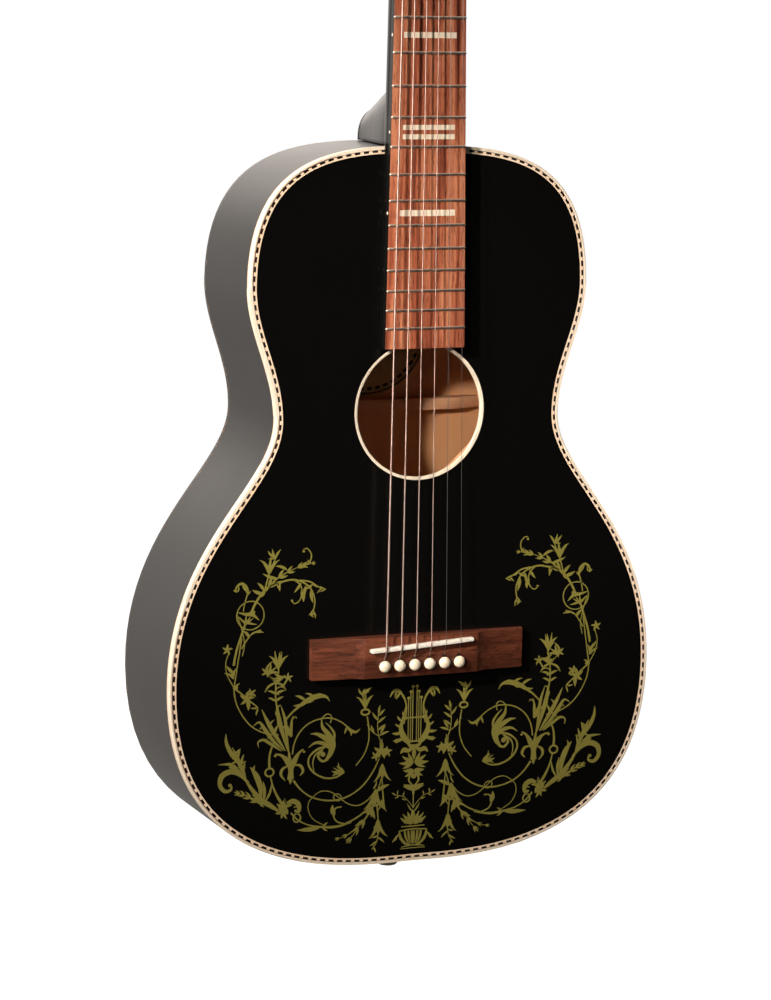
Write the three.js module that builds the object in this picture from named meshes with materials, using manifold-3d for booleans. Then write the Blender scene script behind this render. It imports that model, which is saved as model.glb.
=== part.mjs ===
// Twelve-fret parlour guitar, in millimetres. +Z runs up the neck, the soundboard faces -Y, and the bass side is -X.
// The pieces are laid out with z = 0 at the twelfth fret and y = 0 on the soundboard's face, and the whole guitar
// is then moved so that the origin is the centre of the end pin's outer face.
import * as THREE from "three";
import { mergeVertices } from "three/addons/utils/BufferGeometryUtils.js";
import Module from "manifold-3d";

// Scale and strings
const SCALE = 645;
const NUT_Z = SCALE / 2;
const STRING_RADII = [0.15, 0.2, 0.31, 0.41, 0.53, 0.66];
const NUT_SPREAD = 36.5;
const PIN_SPREAD = 54.2;

// Body outline of the purfling's inner edge: points [x, z] and the length of the handle before and after each
const TAIL_Z = -478.9;
const NECK_Z = -4.1;
const LOWER_BOUT = [169.7, -355.4];
const WAIST = [96.9, -179.6];
const UPPER_BOUT = [116, -91.7];
const TAIL_HANDLE = 34.5;
const LOWER_HANDLES = [134.1, 96.3];
const WAIST_HANDLES = [45.4, 33.3];
const UPPER_HANDLES = [29.2, 83.4];
const NECK_HANDLE = 59.3;
const CURVE_STEPS = 8;

// Edge build-up, outwards from that line
const PURFLING_WIDTH = 2.6;
const EDGE = 4.6;
const BINDING_DEPTH = 6;
const SIDE_THICKNESS = 2.2;
const TOP_THICKNESS = 3;
const BACK_THICKNESS = 2.6;
const SEAT = 0.15;
const LINING_INNER = -4;
const LINING_HEIGHT = 12;

// Depth of the sides, and the arch of the back
const TAIL_DEPTH = 90;
const DEPTH_FALL = 6;
const DEPTH_SWELL = 40;
const BACK_ARCH = 3.5;
const ARCH_CENTRE = [0, -270];
const ARCH_RINGS = [1, 0.7, 0.35];

// Soundhole
const HOLE_Z = -175.2;
const HOLE_RADIUS = 44.6;
const RING_RADIUS = 46.6;
const HOLE_SIDES = 32;

// Bridge, saddle and pins
const BRIDGE_TOP = -325.6;
const BRIDGE_HEIGHT = 27.6;
const BRIDGE_FRONT = -10.3;
const BRIDGE_PROFILE = [[76.7, SEAT], [76.7, 4.5], [48, 6.5], [41, -BRIDGE_FRONT]];
const SADDLE_LENGTH = 75;
const SADDLE_THICKNESS = 3;
const SADDLE_CROWN = -13.8;
const SADDLE_BASE = -6.3;
const SADDLE_Z = -332.15;
const SADDLE_SLANT = 0.0573;
const PIN_Z = -345;
const PIN_RADIUS = 2.6;
const PIN_TIP_RADIUS = 2.1;
const PIN_HEAD_RADIUS = 3.9;
const PIN_LENGTH = 26;
const PIN_HOLE_RADIUS = 2.9;
const STRING_SLOT_Z = -340.3;
const BALL_RADIUS = 1.9;

// Fingerboard, neck and heel
const NECK_FACE = -2;
const BOARD_TOP = -8.3;
const BOARD_EDGE_TOP = -7.6;
const BOARD_END_Z = -132.8;
const NUT_HALF_WIDTH = 22.25;
const WIDTH_SLOPE = 0.0138;
const NUT_LENGTH = 5.5;
const NUT_TOP = -10.4;
const STRING_AT_NUT = -9.9;
const TONGUE_OVERHANG = 1.3;
const HEEL_Z = 0.8;
const HEEL_END = 78;
const TENON = { half: 10, front: 8, back: 60, depth: 31 };

// Headstock, in its own frame: x across, y backwards from its face, z up from the nut
const HEAD_TILT = THREE.MathUtils.degToRad(14);
const HEAD_ORIGIN = [0, NECK_FACE, NUT_Z + NUT_LENGTH + 0.4];
const HEAD_LENGTH = 172;
const HEAD_THICKNESS = 13.2;
const HEADPLATE = 2;
const POST_X = 22;
const POST_HEIGHTS = [36, 77, 118, 118, 77, 36];

// Geared tuners: a worm on each button shaft turns a 14-tooth gear on each string post
const TEETH = 14;
const GEAR_RADIUS = 6.3;
const GEAR_TIP = 7.05;
const GEAR_ROOT = 5.2;
const WORM_RADIUS = 2.8;
const WORM_TIP = 3.55;
const WORM_CORE = 1.75;
const THREAD_PITCH = (2 * Math.PI * GEAR_RADIUS) / TEETH;
const THREAD_TURNS = 2.25;
const TOOTH = { pitch: 1.1, tip: 0.7, root: 1.6 };
const GEAR_CENTRE_Y = 18.4;
const GEAR_WIDTH = 3;
const WORM_RISE = GEAR_RADIUS + WORM_RADIUS;
const PLATE = { half: 8, low: 25, high: 137, front: HEAD_THICKNESS + 0.1, thickness: 1.2 };
const EAR = { offset: 7.2, thickness: 1.2, half: 3.6, back: 21.8 };
const SHAFT_RADIUS = 1.9;
const POST_RADIUS = 3;

// Tail
const END_PIN_OUT = 14;
const END_PIN_Y = TAIL_DEPTH / 2;

const wasm = await Module();
wasm.setup();

// ---- shared shape helpers ----

function toSolid(geometry) {
  const bare = new THREE.BufferGeometry();
  const loose = geometry.index ? geometry.toNonIndexed() : geometry;
  bare.setAttribute("position", loose.getAttribute("position"));
  const merged = mergeVertices(bare, 1e-4);
  const vertProperties = new Float32Array(merged.attributes.position.array);
  const triVerts = new Uint32Array(merged.index.array);
  return new wasm.Manifold(new wasm.Mesh({ numProp: 3, vertProperties, triVerts }));
}

function toGeometry(solid) {
  const mesh = solid.getMesh();
  const geometry = new THREE.BufferGeometry();
  geometry.setAttribute("position", new THREE.BufferAttribute(mesh.vertProperties, 3));
  geometry.setIndex(new THREE.BufferAttribute(mesh.triVerts, 1));
  return geometry;
}

function join(...geometries) {
  return toGeometry(geometries.map(toSolid).reduce((a, b) => a.add(b)));
}

function cut(geometry, ...tools) {
  return toGeometry(tools.map(toSolid).reduce((a, b) => a.subtract(b), toSolid(geometry)));
}

// The two coordinates that show a flat loop of points best, for filling it in
function flatten(loop) {
  const normal = new THREE.Vector3();
  loop.forEach((p, i) => {
    const q = loop[(i + 1) % loop.length];
    normal.x += (p.y - q.y) * (p.z + q.z);
    normal.y += (p.z - q.z) * (p.x + q.x);
    normal.z += (p.x - q.x) * (p.y + q.y);
  });
  const size = [Math.abs(normal.x), Math.abs(normal.y), Math.abs(normal.z)];
  const drop = size.indexOf(Math.max(...size));
  const keep = ["x", "y", "z"].filter((axis, i) => i !== drop);
  return loop.map((p) => new THREE.Vector2(p[keep[0]], p[keep[1]]));
}

function signedVolume(points, faces) {
  const a = new THREE.Vector3();
  return faces.reduce((sum, [i, j, k]) => sum + a.crossVectors(points[i], points[j]).dot(points[k]), 0);
}

// A closed skin through loops of points; ring joins the last loop to the first, otherwise both ends are filled
function skin(loops, ring = false) {
  const count = loops[0].length;
  const points = loops.flat();
  const faces = [];
  const bands = ring ? loops.length : loops.length - 1;
  for (let i = 0; i < bands; i++) {
    const a = i * count;
    const b = ((i + 1) % loops.length) * count;
    for (let k = 0; k < count; k++) {
      const n = (k + 1) % count;
      faces.push([a + k, a + n, b + n], [a + k, b + n, b + k]);
    }
  }
  if (!ring) faces.push(...endFaces(loops, count));
  if (signedVolume(points, faces) < 0) faces.forEach((f) => f.reverse());
  const geometry = new THREE.BufferGeometry();
  geometry.setAttribute("position", new THREE.Float32BufferAttribute(points.flatMap((p) => p.toArray()), 3));
  geometry.setIndex(faces.flat());
  return geometry;
}

function endFaces(loops, count) {
  const last = (loops.length - 1) * count;
  const start = facing(THREE.ShapeUtils.triangulateShape(flatten(loops[0]), []), count);
  const end = facing(THREE.ShapeUtils.triangulateShape(flatten(loops.at(-1)), []), count);
  const startFaces = start.map(([i, j, k]) => [k, j, i]);
  const endFacesShifted = end.map(([i, j, k]) => [i + last, j + last, k + last]);
  return [...startFaces, ...endFacesShifted];
}

// Turns filled-in faces so that their edges follow the loop's own direction
function facing(faces, count) {
  const forward = faces.some((f) => f.some((v, i) => f[(i + 1) % 3] === (v + 1) % count));
  return forward ? faces : faces.map(([i, j, k]) => [k, j, i]);
}

function vector(x, y, z) {
  return new THREE.Vector3(x, y, z);
}

// A flat plate: an outline of [x, z] points between two depths
function plate(outline, front, back, holes = []) {
  const shape = new THREE.Shape(outline.map(([x, z]) => new THREE.Vector2(x, z)));
  shape.holes = holes.map((hole) => new THREE.Path(hole.map(([x, z]) => new THREE.Vector2(x, z))));
  const geometry = new THREE.ExtrudeGeometry(shape, { depth: back - front, bevelEnabled: false });
  return geometry.rotateX(Math.PI / 2).translate(0, back, 0);
}

function box(low, high) {
  const size = high.map((v, i) => v - low[i]);
  const middle = high.map((v, i) => (v + low[i]) / 2);
  return new THREE.BoxGeometry(...size).translate(...middle);
}

function circle(x, z, radius, sides) {
  return Array.from({ length: sides }, (_, i) => {
    const turn = (2 * Math.PI * (i + 0.5)) / sides;
    return [x + radius * Math.cos(turn), z + radius * Math.sin(turn)];
  });
}

// A turned piece: [radius, height] pairs revolved round the Y axis, from low to high
function turned(profile, sides) {
  return new THREE.LatheGeometry(profile.map(([r, y]) => new THREE.Vector2(r, y)), sides);
}

function along(values, count, make) {
  return Array.from({ length: count }, (_, i) => make(THREE.MathUtils.lerp(values[0], values[1], i / (count - 1)), i));
}

// ---- body outline and depth ----

function halfCurves() {
  const v = (x, z) => new THREE.Vector2(x, z);
  const [lx, lz] = LOWER_BOUT;
  const [wx, wz] = WAIST;
  const [ux, uz] = UPPER_BOUT;
  return [
    new THREE.CubicBezierCurve(v(0, TAIL_Z), v(TAIL_HANDLE, TAIL_Z), v(lx, lz - LOWER_HANDLES[0]), v(lx, lz)),
    new THREE.CubicBezierCurve(v(lx, lz), v(lx, lz + LOWER_HANDLES[1]), v(wx, wz - WAIST_HANDLES[0]), v(wx, wz)),
    new THREE.CubicBezierCurve(v(wx, wz), v(wx, wz + WAIST_HANDLES[1]), v(ux, uz - UPPER_HANDLES[0]), v(ux, uz)),
    new THREE.CubicBezierCurve(v(ux, uz), v(ux, uz + UPPER_HANDLES[1]), v(NECK_HANDLE, NECK_Z), v(0, NECK_Z)),
  ];
}

// Treble half of the outline from tail to neck, moved outwards by an offset
function halfOutline(offset) {
  return halfCurves().flatMap((curve, i) => {
    const count = i === 3 ? CURVE_STEPS + 1 : CURVE_STEPS;
    return Array.from({ length: count }, (_, k) => {
      const p = curve.getPoint(k / CURVE_STEPS);
      const t = curve.getTangent(k / CURVE_STEPS);
      return [p.x + t.y * offset, p.y - t.x * offset];
    });
  });
}

function outline(offset) {
  const half = halfOutline(offset);
  const mirrored = half.slice(1, -1).reverse().map(([x, z]) => [-x, z]);
  return [...half, ...mirrored];
}

function rimDepth(z) {
  const u = (z - TAIL_Z) / (NECK_Z - TAIL_Z);
  return TAIL_DEPTH - DEPTH_FALL * u + DEPTH_SWELL * u * (1 - u);
}

// How far a point is from the back's middle, as a share of the way to its edge
const BACK_EDGE = outline(EDGE);
function edgeShare(x, z) {
  const dx = x - ARCH_CENTRE[0];
  const dz = z - ARCH_CENTRE[1];
  let share = 0;
  BACK_EDGE.forEach(([ax, az], i) => {
    const [bx, bz] = BACK_EDGE[(i + 1) % BACK_EDGE.length];
    const [px, pz] = [ax - ARCH_CENTRE[0], az - ARCH_CENTRE[1]];
    const [qx, qz] = [bx - ax, bz - az];
    const cross = px * qz - pz * qx;
    const slope = dx * qz - dz * qx;
    const part = (px * dz - pz * dx) / slope;
    if (slope * cross > 0 && part >= 0 && part <= 1) share = Math.max(share, slope / cross);
  });
  return share;
}

function backInside(x, z) {
  const share = Math.max(edgeShare(x, z), ARCH_RINGS.at(-1));
  return rimDepth(z) + BACK_ARCH * (1 - share * share) - BACK_THICKNESS;
}

// A strip that follows the outline: four corners at each point, between two offsets and two depths
function ribbon(points, inner, front, back) {
  return points.map(([x, z], i) => {
    const [ix, iz] = inner[i];
    return [vector(x, front(z), z), vector(x, back(z), z), vector(ix, back(iz), iz), vector(ix, front(iz), iz)];
  });
}

function loopStrip(outer, inner, front, back) {
  return skin(ribbon(outline(outer), outline(inner), front, back), true);
}

function pinHoleOutline(x) {
  const hole = circle(x, PIN_Z, PIN_HOLE_RADIUS, 10);
  const slot = 0.95;
  const top = STRING_SLOT_Z + 0.9;
  const kept = hole.filter(([hx, hz]) => Math.abs(hx - x) > slot || hz < PIN_Z);
  const start = kept.findIndex(([hx, hz]) => hx > x + slot && hz > PIN_Z && hz - PIN_Z > PIN_HOLE_RADIUS * 0.6);
  const before = kept.slice(0, start + 1);
  const after = kept.slice(start + 1);
  return [...before, [x + slot, top], [x - slot, top], ...after];
}

function pinX(i) {
  return PIN_SPREAD * (0.5 - (i - 1) / 5);
}

function pinCutters(front, back) {
  return [1, 2, 3, 4, 5, 6].map((i) => plate(pinHoleOutline(pinX(i)), front, back));
}

// ---- soundbox ----

function soundboard() {
  const hole = circle(0, HOLE_Z, RING_RADIUS + SEAT, HOLE_SIDES);
  const face = plate(outline(-SEAT), 0, TOP_THICKNESS, [hole]);
  const shelf = plate(outline(PURFLING_WIDTH), 2 + SEAT, TOP_THICKNESS, [hole]);
  return cut(join(face, shelf), ...pinCutters(-1, TOP_THICKNESS + 1));
}

function soundholeRing() {
  const inner = circle(0, HOLE_Z, HOLE_RADIUS, HOLE_SIDES);
  return plate(circle(0, HOLE_Z, RING_RADIUS, HOLE_SIDES), 0, TOP_THICKNESS, [inner]);
}

function topPurfling() {
  return loopStrip(PURFLING_WIDTH, 0, () => 0, () => 2);
}

function topBinding() {
  return loopStrip(EDGE, PURFLING_WIDTH + 0.1, () => 0, () => BINDING_DEPTH);
}

// The back: rings of points that shrink to its middle, for its outer and inner faces
function back() {
  const [cx, cz] = ARCH_CENTRE;
  const ringAt = (share, inside) => BACK_EDGE.map(([ex, ez]) => {
    const x = cx + share * (ex - cx);
    const z = cz + share * (ez - cz);
    const rise = BACK_ARCH * (1 - share * share);
    return vector(x, rimDepth(z) + rise - (inside ? BACK_THICKNESS : 0), z);
  });
  const outer = ARCH_RINGS.map((share) => ringAt(share, false));
  const inner = ARCH_RINGS.map((share) => ringAt(share, true)).reverse();
  return skin([...inner, ...outer]);
}

function side(sign) {
  const clear = (points) => points.map(([x, z]) => [sign * Math.max(x, SEAT), z]);
  const outer = clear(halfOutline(EDGE));
  const inner = clear(halfOutline(EDGE - SIDE_THICKNESS));
  const front = () => BINDING_DEPTH + SEAT;
  const rear = (z) => rimDepth(z) - BACK_THICKNESS - SEAT;
  const wall = skin(ribbon(outer, inner, front, rear));
  return cut(wall, tenonSpace(), endPinSpace());
}

function lining(sign, front, rear) {
  const keep = halfOutline(0).map(([x]) => x > 34);
  const pick = (offset) => halfOutline(offset).filter((_, i) => keep[i]).map(([x, z]) => [sign * x, z]);
  return skin(ribbon(pick(EDGE - SIDE_THICKNESS - SEAT), pick(LINING_INNER), front, rear));
}

function topLining(sign) {
  return lining(sign, () => TOP_THICKNESS + SEAT, () => TOP_THICKNESS + LINING_HEIGHT);
}

function backLining(sign) {
  const seat = (z) => rimDepth(z) - BACK_THICKNESS - SEAT;
  return lining(sign, (z) => seat(z) - LINING_HEIGHT, seat);
}

function tenonSpace() {
  const { half, front, back: rear, depth } = TENON;
  return box([-half - 0.3, front - 0.3, -depth - 0.3], [half + 0.3, rear + 0.3, 10]);
}

function endPinSpace() {
  return new THREE.CylinderGeometry(4.6, 4.6, 60, 16).rotateX(Math.PI / 2).translate(0, END_PIN_Y, TAIL_Z);
}

// A block that fits the curve of the rim at one end of the body
function endBlock(half, inside, depth) {
  const rim = outline(EDGE - SIDE_THICKNESS - SEAT);
  const edge = rim.filter(([x, z]) => Math.abs(x) < half && Math.sign(z - HOLE_Z) === Math.sign(inside - HOLE_Z));
  const sorted = edge.sort((a, b) => a[0] - b[0]);
  return plate([[-half, inside], ...sorted, [half, inside]], TOP_THICKNESS + SEAT, depth);
}

function neckBlock() {
  return cut(endBlock(32, -48, 80.6), tenonSpace());
}

function tailBlock() {
  return cut(endBlock(30, -451, 86.4), endPinSpace());
}

// A soundboard bar: a side view with tapered ends, as long as needed, turned to its line
function topBar(length, width, height, turn, x, z) {
  const half = length / 2;
  const scoop = Math.min(45, length / 4);
  const base = TOP_THICKNESS + SEAT;
  const profile = [[-half, base], [half, base], [half, base + 3], [half - scoop, base + height],
    [scoop - half, base + height], [-half, base + 3]];
  const shape = new THREE.Shape(profile.map(([a, b]) => new THREE.Vector2(a, b)));
  const bar = new THREE.ExtrudeGeometry(shape, { depth: width, bevelEnabled: false });
  return bar.translate(0, 0, -width / 2).rotateY(turn).translate(x, 0, z);
}

const X_CROSS_Z = -247;
const X_TURN = THREE.MathUtils.degToRad(43);
const X_BAR = { length: 300, width: 8, height: 14, shift: 40 };

function xBrace(sign, notchLow, notchHigh) {
  const { length, width, height, shift } = X_BAR;
  const x = sign * shift * Math.cos(X_TURN);
  const z = X_CROSS_Z - shift * Math.sin(X_TURN);
  const bar = topBar(length, width, height, sign * X_TURN, x, z);
  return cut(bar, xNotch(sign, width / 2 + 0.3, notchLow, notchHigh));
}

// The space the other bar takes at the crossing
function xNotch(sign, gap, low, high) {
  const other = new THREE.BoxGeometry(60, high - low, 2 * gap);
  return other.rotateY(-sign * X_TURN).translate(0, (low + high) / 2, X_CROSS_Z);
}

function bridgePlate() {
  const outer = [[-70, -321], [70, -321], [70, -361], [-70, -361]];
  return cut(plate(outer, TOP_THICKNESS + SEAT, TOP_THICKNESS + 3), ...pinCutters(0, TOP_THICKNESS + 5));
}

// A back bar, whose glued edge follows the arch of the back
function backBrace(z, half, height) {
  const width = 8;
  const seat = (x) => Math.min(backInside(x, z - width / 2), backInside(x, z + width / 2)) - 0.45;
  const xs = along([-half, half], 9, (x) => x);
  const back = xs.map((x) => [x, seat(x)]);
  const front = xs.map((x, i) => [x, seat(x) - (i === 0 || i === 8 ? 3 : height)]).reverse();
  const loop = (at) => [...back, ...front].map(([x, y]) => vector(x, y, at));
  return skin([loop(z - width / 2), loop(z + width / 2)]);
}

// ---- bridge ----

function saddleTurn(geometry) {
  return geometry.rotateY(-Math.atan(SADDLE_SLANT)).translate(0, 0, SADDLE_Z);
}

function bridge() {
  const right = BRIDGE_PROFILE.map(([x, h]) => [x, -h]);
  const left = right.map(([x, y]) => [-x, y]).reverse();
  const loop = (z) => [...right, ...left].map(([x, y]) => vector(x, y, z));
  const blank = skin([loop(BRIDGE_TOP - BRIDGE_HEIGHT), loop(BRIDGE_TOP)]);
  const half = SADDLE_LENGTH / 2 + 0.3;
  const wide = SADDLE_THICKNESS / 2 + 0.2;
  const slot = saddleTurn(box([-half, BRIDGE_FRONT - 1, -wide], [half, SADDLE_BASE + 0.3, wide]));
  return cut(blank, slot, ...pinCutters(BRIDGE_FRONT - 1, 1));
}

function saddle() {
  const half = SADDLE_LENGTH / 2;
  const t = SADDLE_THICKNESS / 2;
  const section = (x, top) => [vector(x, SADDLE_BASE, -t), vector(x, SADDLE_BASE, t), vector(x, top + 0.9, t),
    vector(x, top, t / 3), vector(x, top, -t / 3), vector(x, top + 0.9, -t)];
  const stations = [[-half, 1.6], [2.5 - half, 0.2], [0, 0], [half - 2.5, 0.2], [half, 1.6]];
  return saddleTurn(skin(stations.map(([x, drop]) => section(x, SADDLE_CROWN + drop))));
}

function bridgePin(i) {
  const r = PIN_HEAD_RADIUS;
  const seat = -BRIDGE_FRONT + SEAT;
  const profile = [[0, seat - PIN_LENGTH], [PIN_TIP_RADIUS * 0.7, seat - PIN_LENGTH], [PIN_TIP_RADIUS, seat - 24.6],
    [PIN_RADIUS, seat], [r * 0.87, seat], [r, seat + 1.2], [r * 0.9, seat + 2.7], [r * 0.5, seat + 3.9],
    [0, seat + 4.3]];
  return turned(profile, 10).rotateX(Math.PI).translate(pinX(i), 0, PIN_Z);
}

// ---- neck ----

function halfWidth(z) {
  return NUT_HALF_WIDTH + WIDTH_SLOPE * (NUT_Z - z);
}

function neckSection(z, half, depth) {
  const arc = along([0, Math.PI], 11, (turn) => {
    const bulge = Math.pow(Math.sin(turn), 0.85);
    return vector(half * Math.cos(turn), NECK_FACE + 3 + (depth - 3) * bulge, z);
  });
  return [vector(half, NECK_FACE, z), ...arc, vector(-half, NECK_FACE, z)];
}

function neckShaft() {
  const stations = [[HEEL_Z, 17.5], [60, 17], [180, 16], [300, 14.8], [322, 15.2], [336, 17.5], [346, 17]];
  return skin(stations.map(([z, depth]) => neckSection(z, Math.min(halfWidth(z), 26.8), depth)));
}

// Level slices of the heel, [depth, half-width, height], which shrink to the cap
const HEEL_SLICES = [[NECK_FACE + 2, 26.4, 58], [12, 25.5, 53], [20, 24.4, 48], [32, 22.4, 41.5], [50, 19.2, 34],
  [66, 16.8, 27], [HEEL_END, 15.5, 22]];

function heelSlice(y, half, height) {
  const arc = along([0, Math.PI], 11, (turn) => {
    const rise = HEEL_Z + 0.5 + (height - 0.5) * Math.pow(Math.sin(turn), 0.8);
    return vector(half * Math.cos(turn), y, rise);
  });
  return [vector(half, y, HEEL_Z), ...arc, vector(-half, y, HEEL_Z)];
}

function tongue() {
  const end = BOARD_END_Z - 1.2;
  const low = halfWidth(end) + TONGUE_OVERHANG;
  const high = halfWidth(0) + TONGUE_OVERHANG;
  const right = [[low - 4, end], [low - 1.2, end + 1.2], [low, end + 4], [high, -6], [high - 1.5, HEEL_Z + 4]];
  const left = right.map(([x, z]) => [-x, z]).reverse();
  return plate([...right, ...left], NECK_FACE, -SEAT);
}

function toHead(geometry) {
  return geometry.rotateX(-HEAD_TILT).translate(...HEAD_ORIGIN);
}

// Half outline of the headstock: [half-width, height]
const HEAD_HALF = [[22.6, 0], [23.4, 6], [26, 12], [29.2, 18], [30.6, 26], [34.2, 150], [33.4, 158],
  [28, 163], [14, 168], [5, 171.5]];

function headOutline(inset) {
  const right = HEAD_HALF.map(([x, z]) => [x - inset, z]);
  return [...right, ...right.map(([x, z]) => [-x, z]).reverse()];
}

function postHoles(radius, front, back) {
  return POST_HEIGHTS.map((z, i) => plate(circle(postSide(i + 1) * POST_X, z, radius, 12), front, back));
}

function rodPocket() {
  return box([-5.5, -4, 0.6], [5.5, 8.8, 25]);
}

function neck() {
  const head = cut(plate(headOutline(0), 0, HEAD_THICKNESS), ...postHoles(4, -1, HEAD_THICKNESS + 1));
  const heel = skin(HEEL_SLICES.map((slice) => heelSlice(...slice)));
  const { half, front, back: rear, depth } = TENON;
  const tenon = box([-half, front, -depth], [half, rear, HEEL_Z + 5]);
  const above = toHead(box([-40, -30, -20], [40, 0, 60]));
  const shaft = cut(neckShaft(), box([-40, -40, NUT_Z + NUT_LENGTH + 0.2], [40, NECK_FACE + 0.01, 400]));
  const trimmed = cut(shaft, cut(above, box([-50, -60, 200], [50, 60, NUT_Z + NUT_LENGTH + 0.4])));
  const blank = join(trimmed, heel, tenon, tongue(), toHead(head));
  const channel = box([-3.2, NECK_FACE - 1, 7], [3.2, 8.4, NUT_Z + NUT_LENGTH + 4]);
  return cut(blank, channel, toHead(rodPocket()));
}

function fingerboard() {
  const section = (z) => {
    const half = halfWidth(z);
    const base = NECK_FACE - 0.1;
    return [vector(-half, base, z), vector(-half, BOARD_EDGE_TOP, z), vector(-half * 0.5, BOARD_TOP + 0.18, z),
      vector(0, BOARD_TOP, z), vector(half * 0.5, BOARD_TOP + 0.18, z), vector(half, BOARD_EDGE_TOP, z),
      vector(half, base, z)];
  };
  return skin([section(BOARD_END_Z), section(NUT_Z - SEAT)]);
}

function nutX(i) {
  return NUT_SPREAD * (0.5 - (i - 1) / 5);
}

function nut() {
  const w = NUT_HALF_WIDTH;
  const z = NUT_Z;
  const section = (x, drop) => [vector(x, NECK_FACE - 0.1, z), vector(x, NUT_TOP + drop, z),
    vector(x, NUT_TOP + drop + 0.2, z + 2), vector(x, NUT_TOP + drop + 2.2, z + NUT_LENGTH),
    vector(x, NECK_FACE - 0.1, z + NUT_LENGTH)];
  const blank = skin([section(-w, 0.9), section(-w / 2, 0.2), section(0, 0), section(w / 2, 0.2), section(w, 0.9)]);
  return cut(blank, ...[1, 2, 3, 4, 5, 6].map(nutSlot));
}

function stringAtNut(i) {
  return vector(nutX(i), STRING_AT_NUT, NUT_Z);
}

function nutSlot(i) {
  const r = STRING_RADII[i - 1];
  const start = stringAtNut(i);
  const run = stringEnd(i).sub(start).normalize();
  const slot = new THREE.BoxGeometry(2 * r + 0.4, 6, 30).translate(0, r + 0.15 - 3, 0);
  const across = vector(1, 0, 0).addScaledVector(run, -run.x).normalize();
  const through = new THREE.Vector3().crossVectors(run, across);
  slot.applyMatrix4(new THREE.Matrix4().makeBasis(across, through, run));
  return slot.translate(start.x, start.y, start.z);
}

function heelCap() {
  const [, half, height] = HEEL_SLICES.at(-1);
  return skin([heelSlice(HEEL_END + SEAT, half, height), heelSlice(HEEL_END + 2.6, half - 0.3, height - 0.3)]);
}

function trussRod() {
  const bar = box([-2.9, NECK_FACE + 0.2, 9], [2.9, 7.9, NUT_Z + NUT_LENGTH + 2]);
  const end = new THREE.CylinderGeometry(2.2, 2.2, 7, 10).rotateX(Math.PI / 2);
  return join(bar, end.translate(0, 4.4, NUT_Z + NUT_LENGTH + 4.5));
}

function trussRodNut() {
  const body = new THREE.CylinderGeometry(3.4, 3.4, 8, 6).rotateX(Math.PI / 2);
  const bore = new THREE.CylinderGeometry(2.5, 2.5, 8, 12).rotateX(Math.PI / 2);
  const z = NUT_Z + NUT_LENGTH + 6.6;
  return cut(body.translate(0, 4.4, z), bore.translate(0, 4.4, z - 2));
}

function headplate() {
  const pocket = box([-5.5, -4, 0.6], [5.5, 1, 25]);
  const blank = plate(headOutline(0), -HEADPLATE - 0.1, -0.1);
  return toHead(cut(blank, pocket, ...postHoles(4.2, -4, 1)));
}

function trussRodCover() {
  const right = [[11, 2.5], [11.4, 10], [9, 20], [6.5, 27], [5.6, 32], [3, 35.5]];
  const left = right.map(([x, z]) => [-x, z]).reverse();
  return toHead(plate([...right, ...left], -HEADPLATE - 2.2, -HEADPLATE - 0.2));
}

// ---- tuners, in the headstock's frame ----

// Strings 1 to 3 are on the treble side, 4 to 6 on the bass side
function postSide(i) {
  return i <= 3 ? 1 : -1;
}

function postPoint(i) {
  return [postSide(i) * POST_X, POST_HEIGHTS[i - 1]];
}

function tunerPlate(side) {
  const { half, low, high, front, thickness } = PLATE;
  const x = side * POST_X;
  const rear = front + thickness;
  const body = plate([[x - half, low], [x + half, low], [x + half, high], [x - half, high]], front, rear);
  const strings = side > 0 ? [1, 2, 3] : [4, 5, 6];
  const ears = strings.flatMap((i) => [-1, 1].map((end) => ear(x + end * EAR.offset, postPoint(i)[1], rear)));
  const holes = strings.map((i) => plate(circle(x, postPoint(i)[1], POST_RADIUS + 0.2, 12), 0, rear + 3));
  return toHead(cut(join(body, ...ears), ...holes));
}

function ear(x, height, rear) {
  const { thickness, half, back: far } = EAR;
  const z = height + WORM_RISE;
  const tab = box([x - thickness / 2, rear - 0.5, z - half], [x + thickness / 2, far, z + half]);
  const hole = new THREE.CylinderGeometry(SHAFT_RADIUS + 0.15, SHAFT_RADIUS + 0.15, 6, 12).rotateZ(Math.PI / 2);
  return cut(tab, hole.translate(x, GEAR_CENTRE_Y, z));
}

// The worm's thread: a tapered section that winds along X, with its crest facing the gear at the middle
function thread() {
  const steps = 8;
  const total = THREAD_TURNS * steps;
  const loops = along([-THREAD_TURNS / 2, THREAD_TURNS / 2], total + 1, (turns, i) => {
    const angle = -Math.PI / 2 + turns * 2 * Math.PI;
    const x = turns * THREAD_PITCH;
    const ease = i === 0 || i === total ? 0.15 : 1;
    const tip = WORM_CORE + (WORM_TIP - WORM_CORE) * ease;
    const at = (dx, r) => vector(x + dx, r * Math.cos(angle), r * Math.sin(angle));
    const foot = 1.2;
    return [at(-TOOTH.root / 2, foot), at(-TOOTH.tip / 2, tip), at(TOOTH.tip / 2, tip), at(TOOTH.root / 2, foot)];
  });
  return skin(loops);
}

function tunerShaft(i) {
  const [x, z] = postPoint(i);
  const out = postSide(i);
  const reach = 25;
  const profile = [[0, -10], [SHAFT_RADIUS, -10], [SHAFT_RADIUS, -4.9], [WORM_CORE, -4.7], [WORM_CORE, 4.7],
    [SHAFT_RADIUS, 4.9], [SHAFT_RADIUS, reach], [0, reach]];
  const shaft = turned(profile, 8).rotateZ(-Math.PI / 2);
  const button = turned([[0, reach - 2], [2.6, reach - 2], [3.4, reach + 1], [6.6, reach + 4], [7.4, reach + 8],
    [5.6, reach + 12], [0, reach + 13.5]], 8);
  button.scale(1, 1, 0.62).rotateZ(-Math.PI / 2);
  const sideways = join(shaft, button).rotateY(out > 0 ? 0 : Math.PI);
  return toHead(join(sideways, thread()).translate(x, GEAR_CENTRE_Y, z + WORM_RISE));
}

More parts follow.
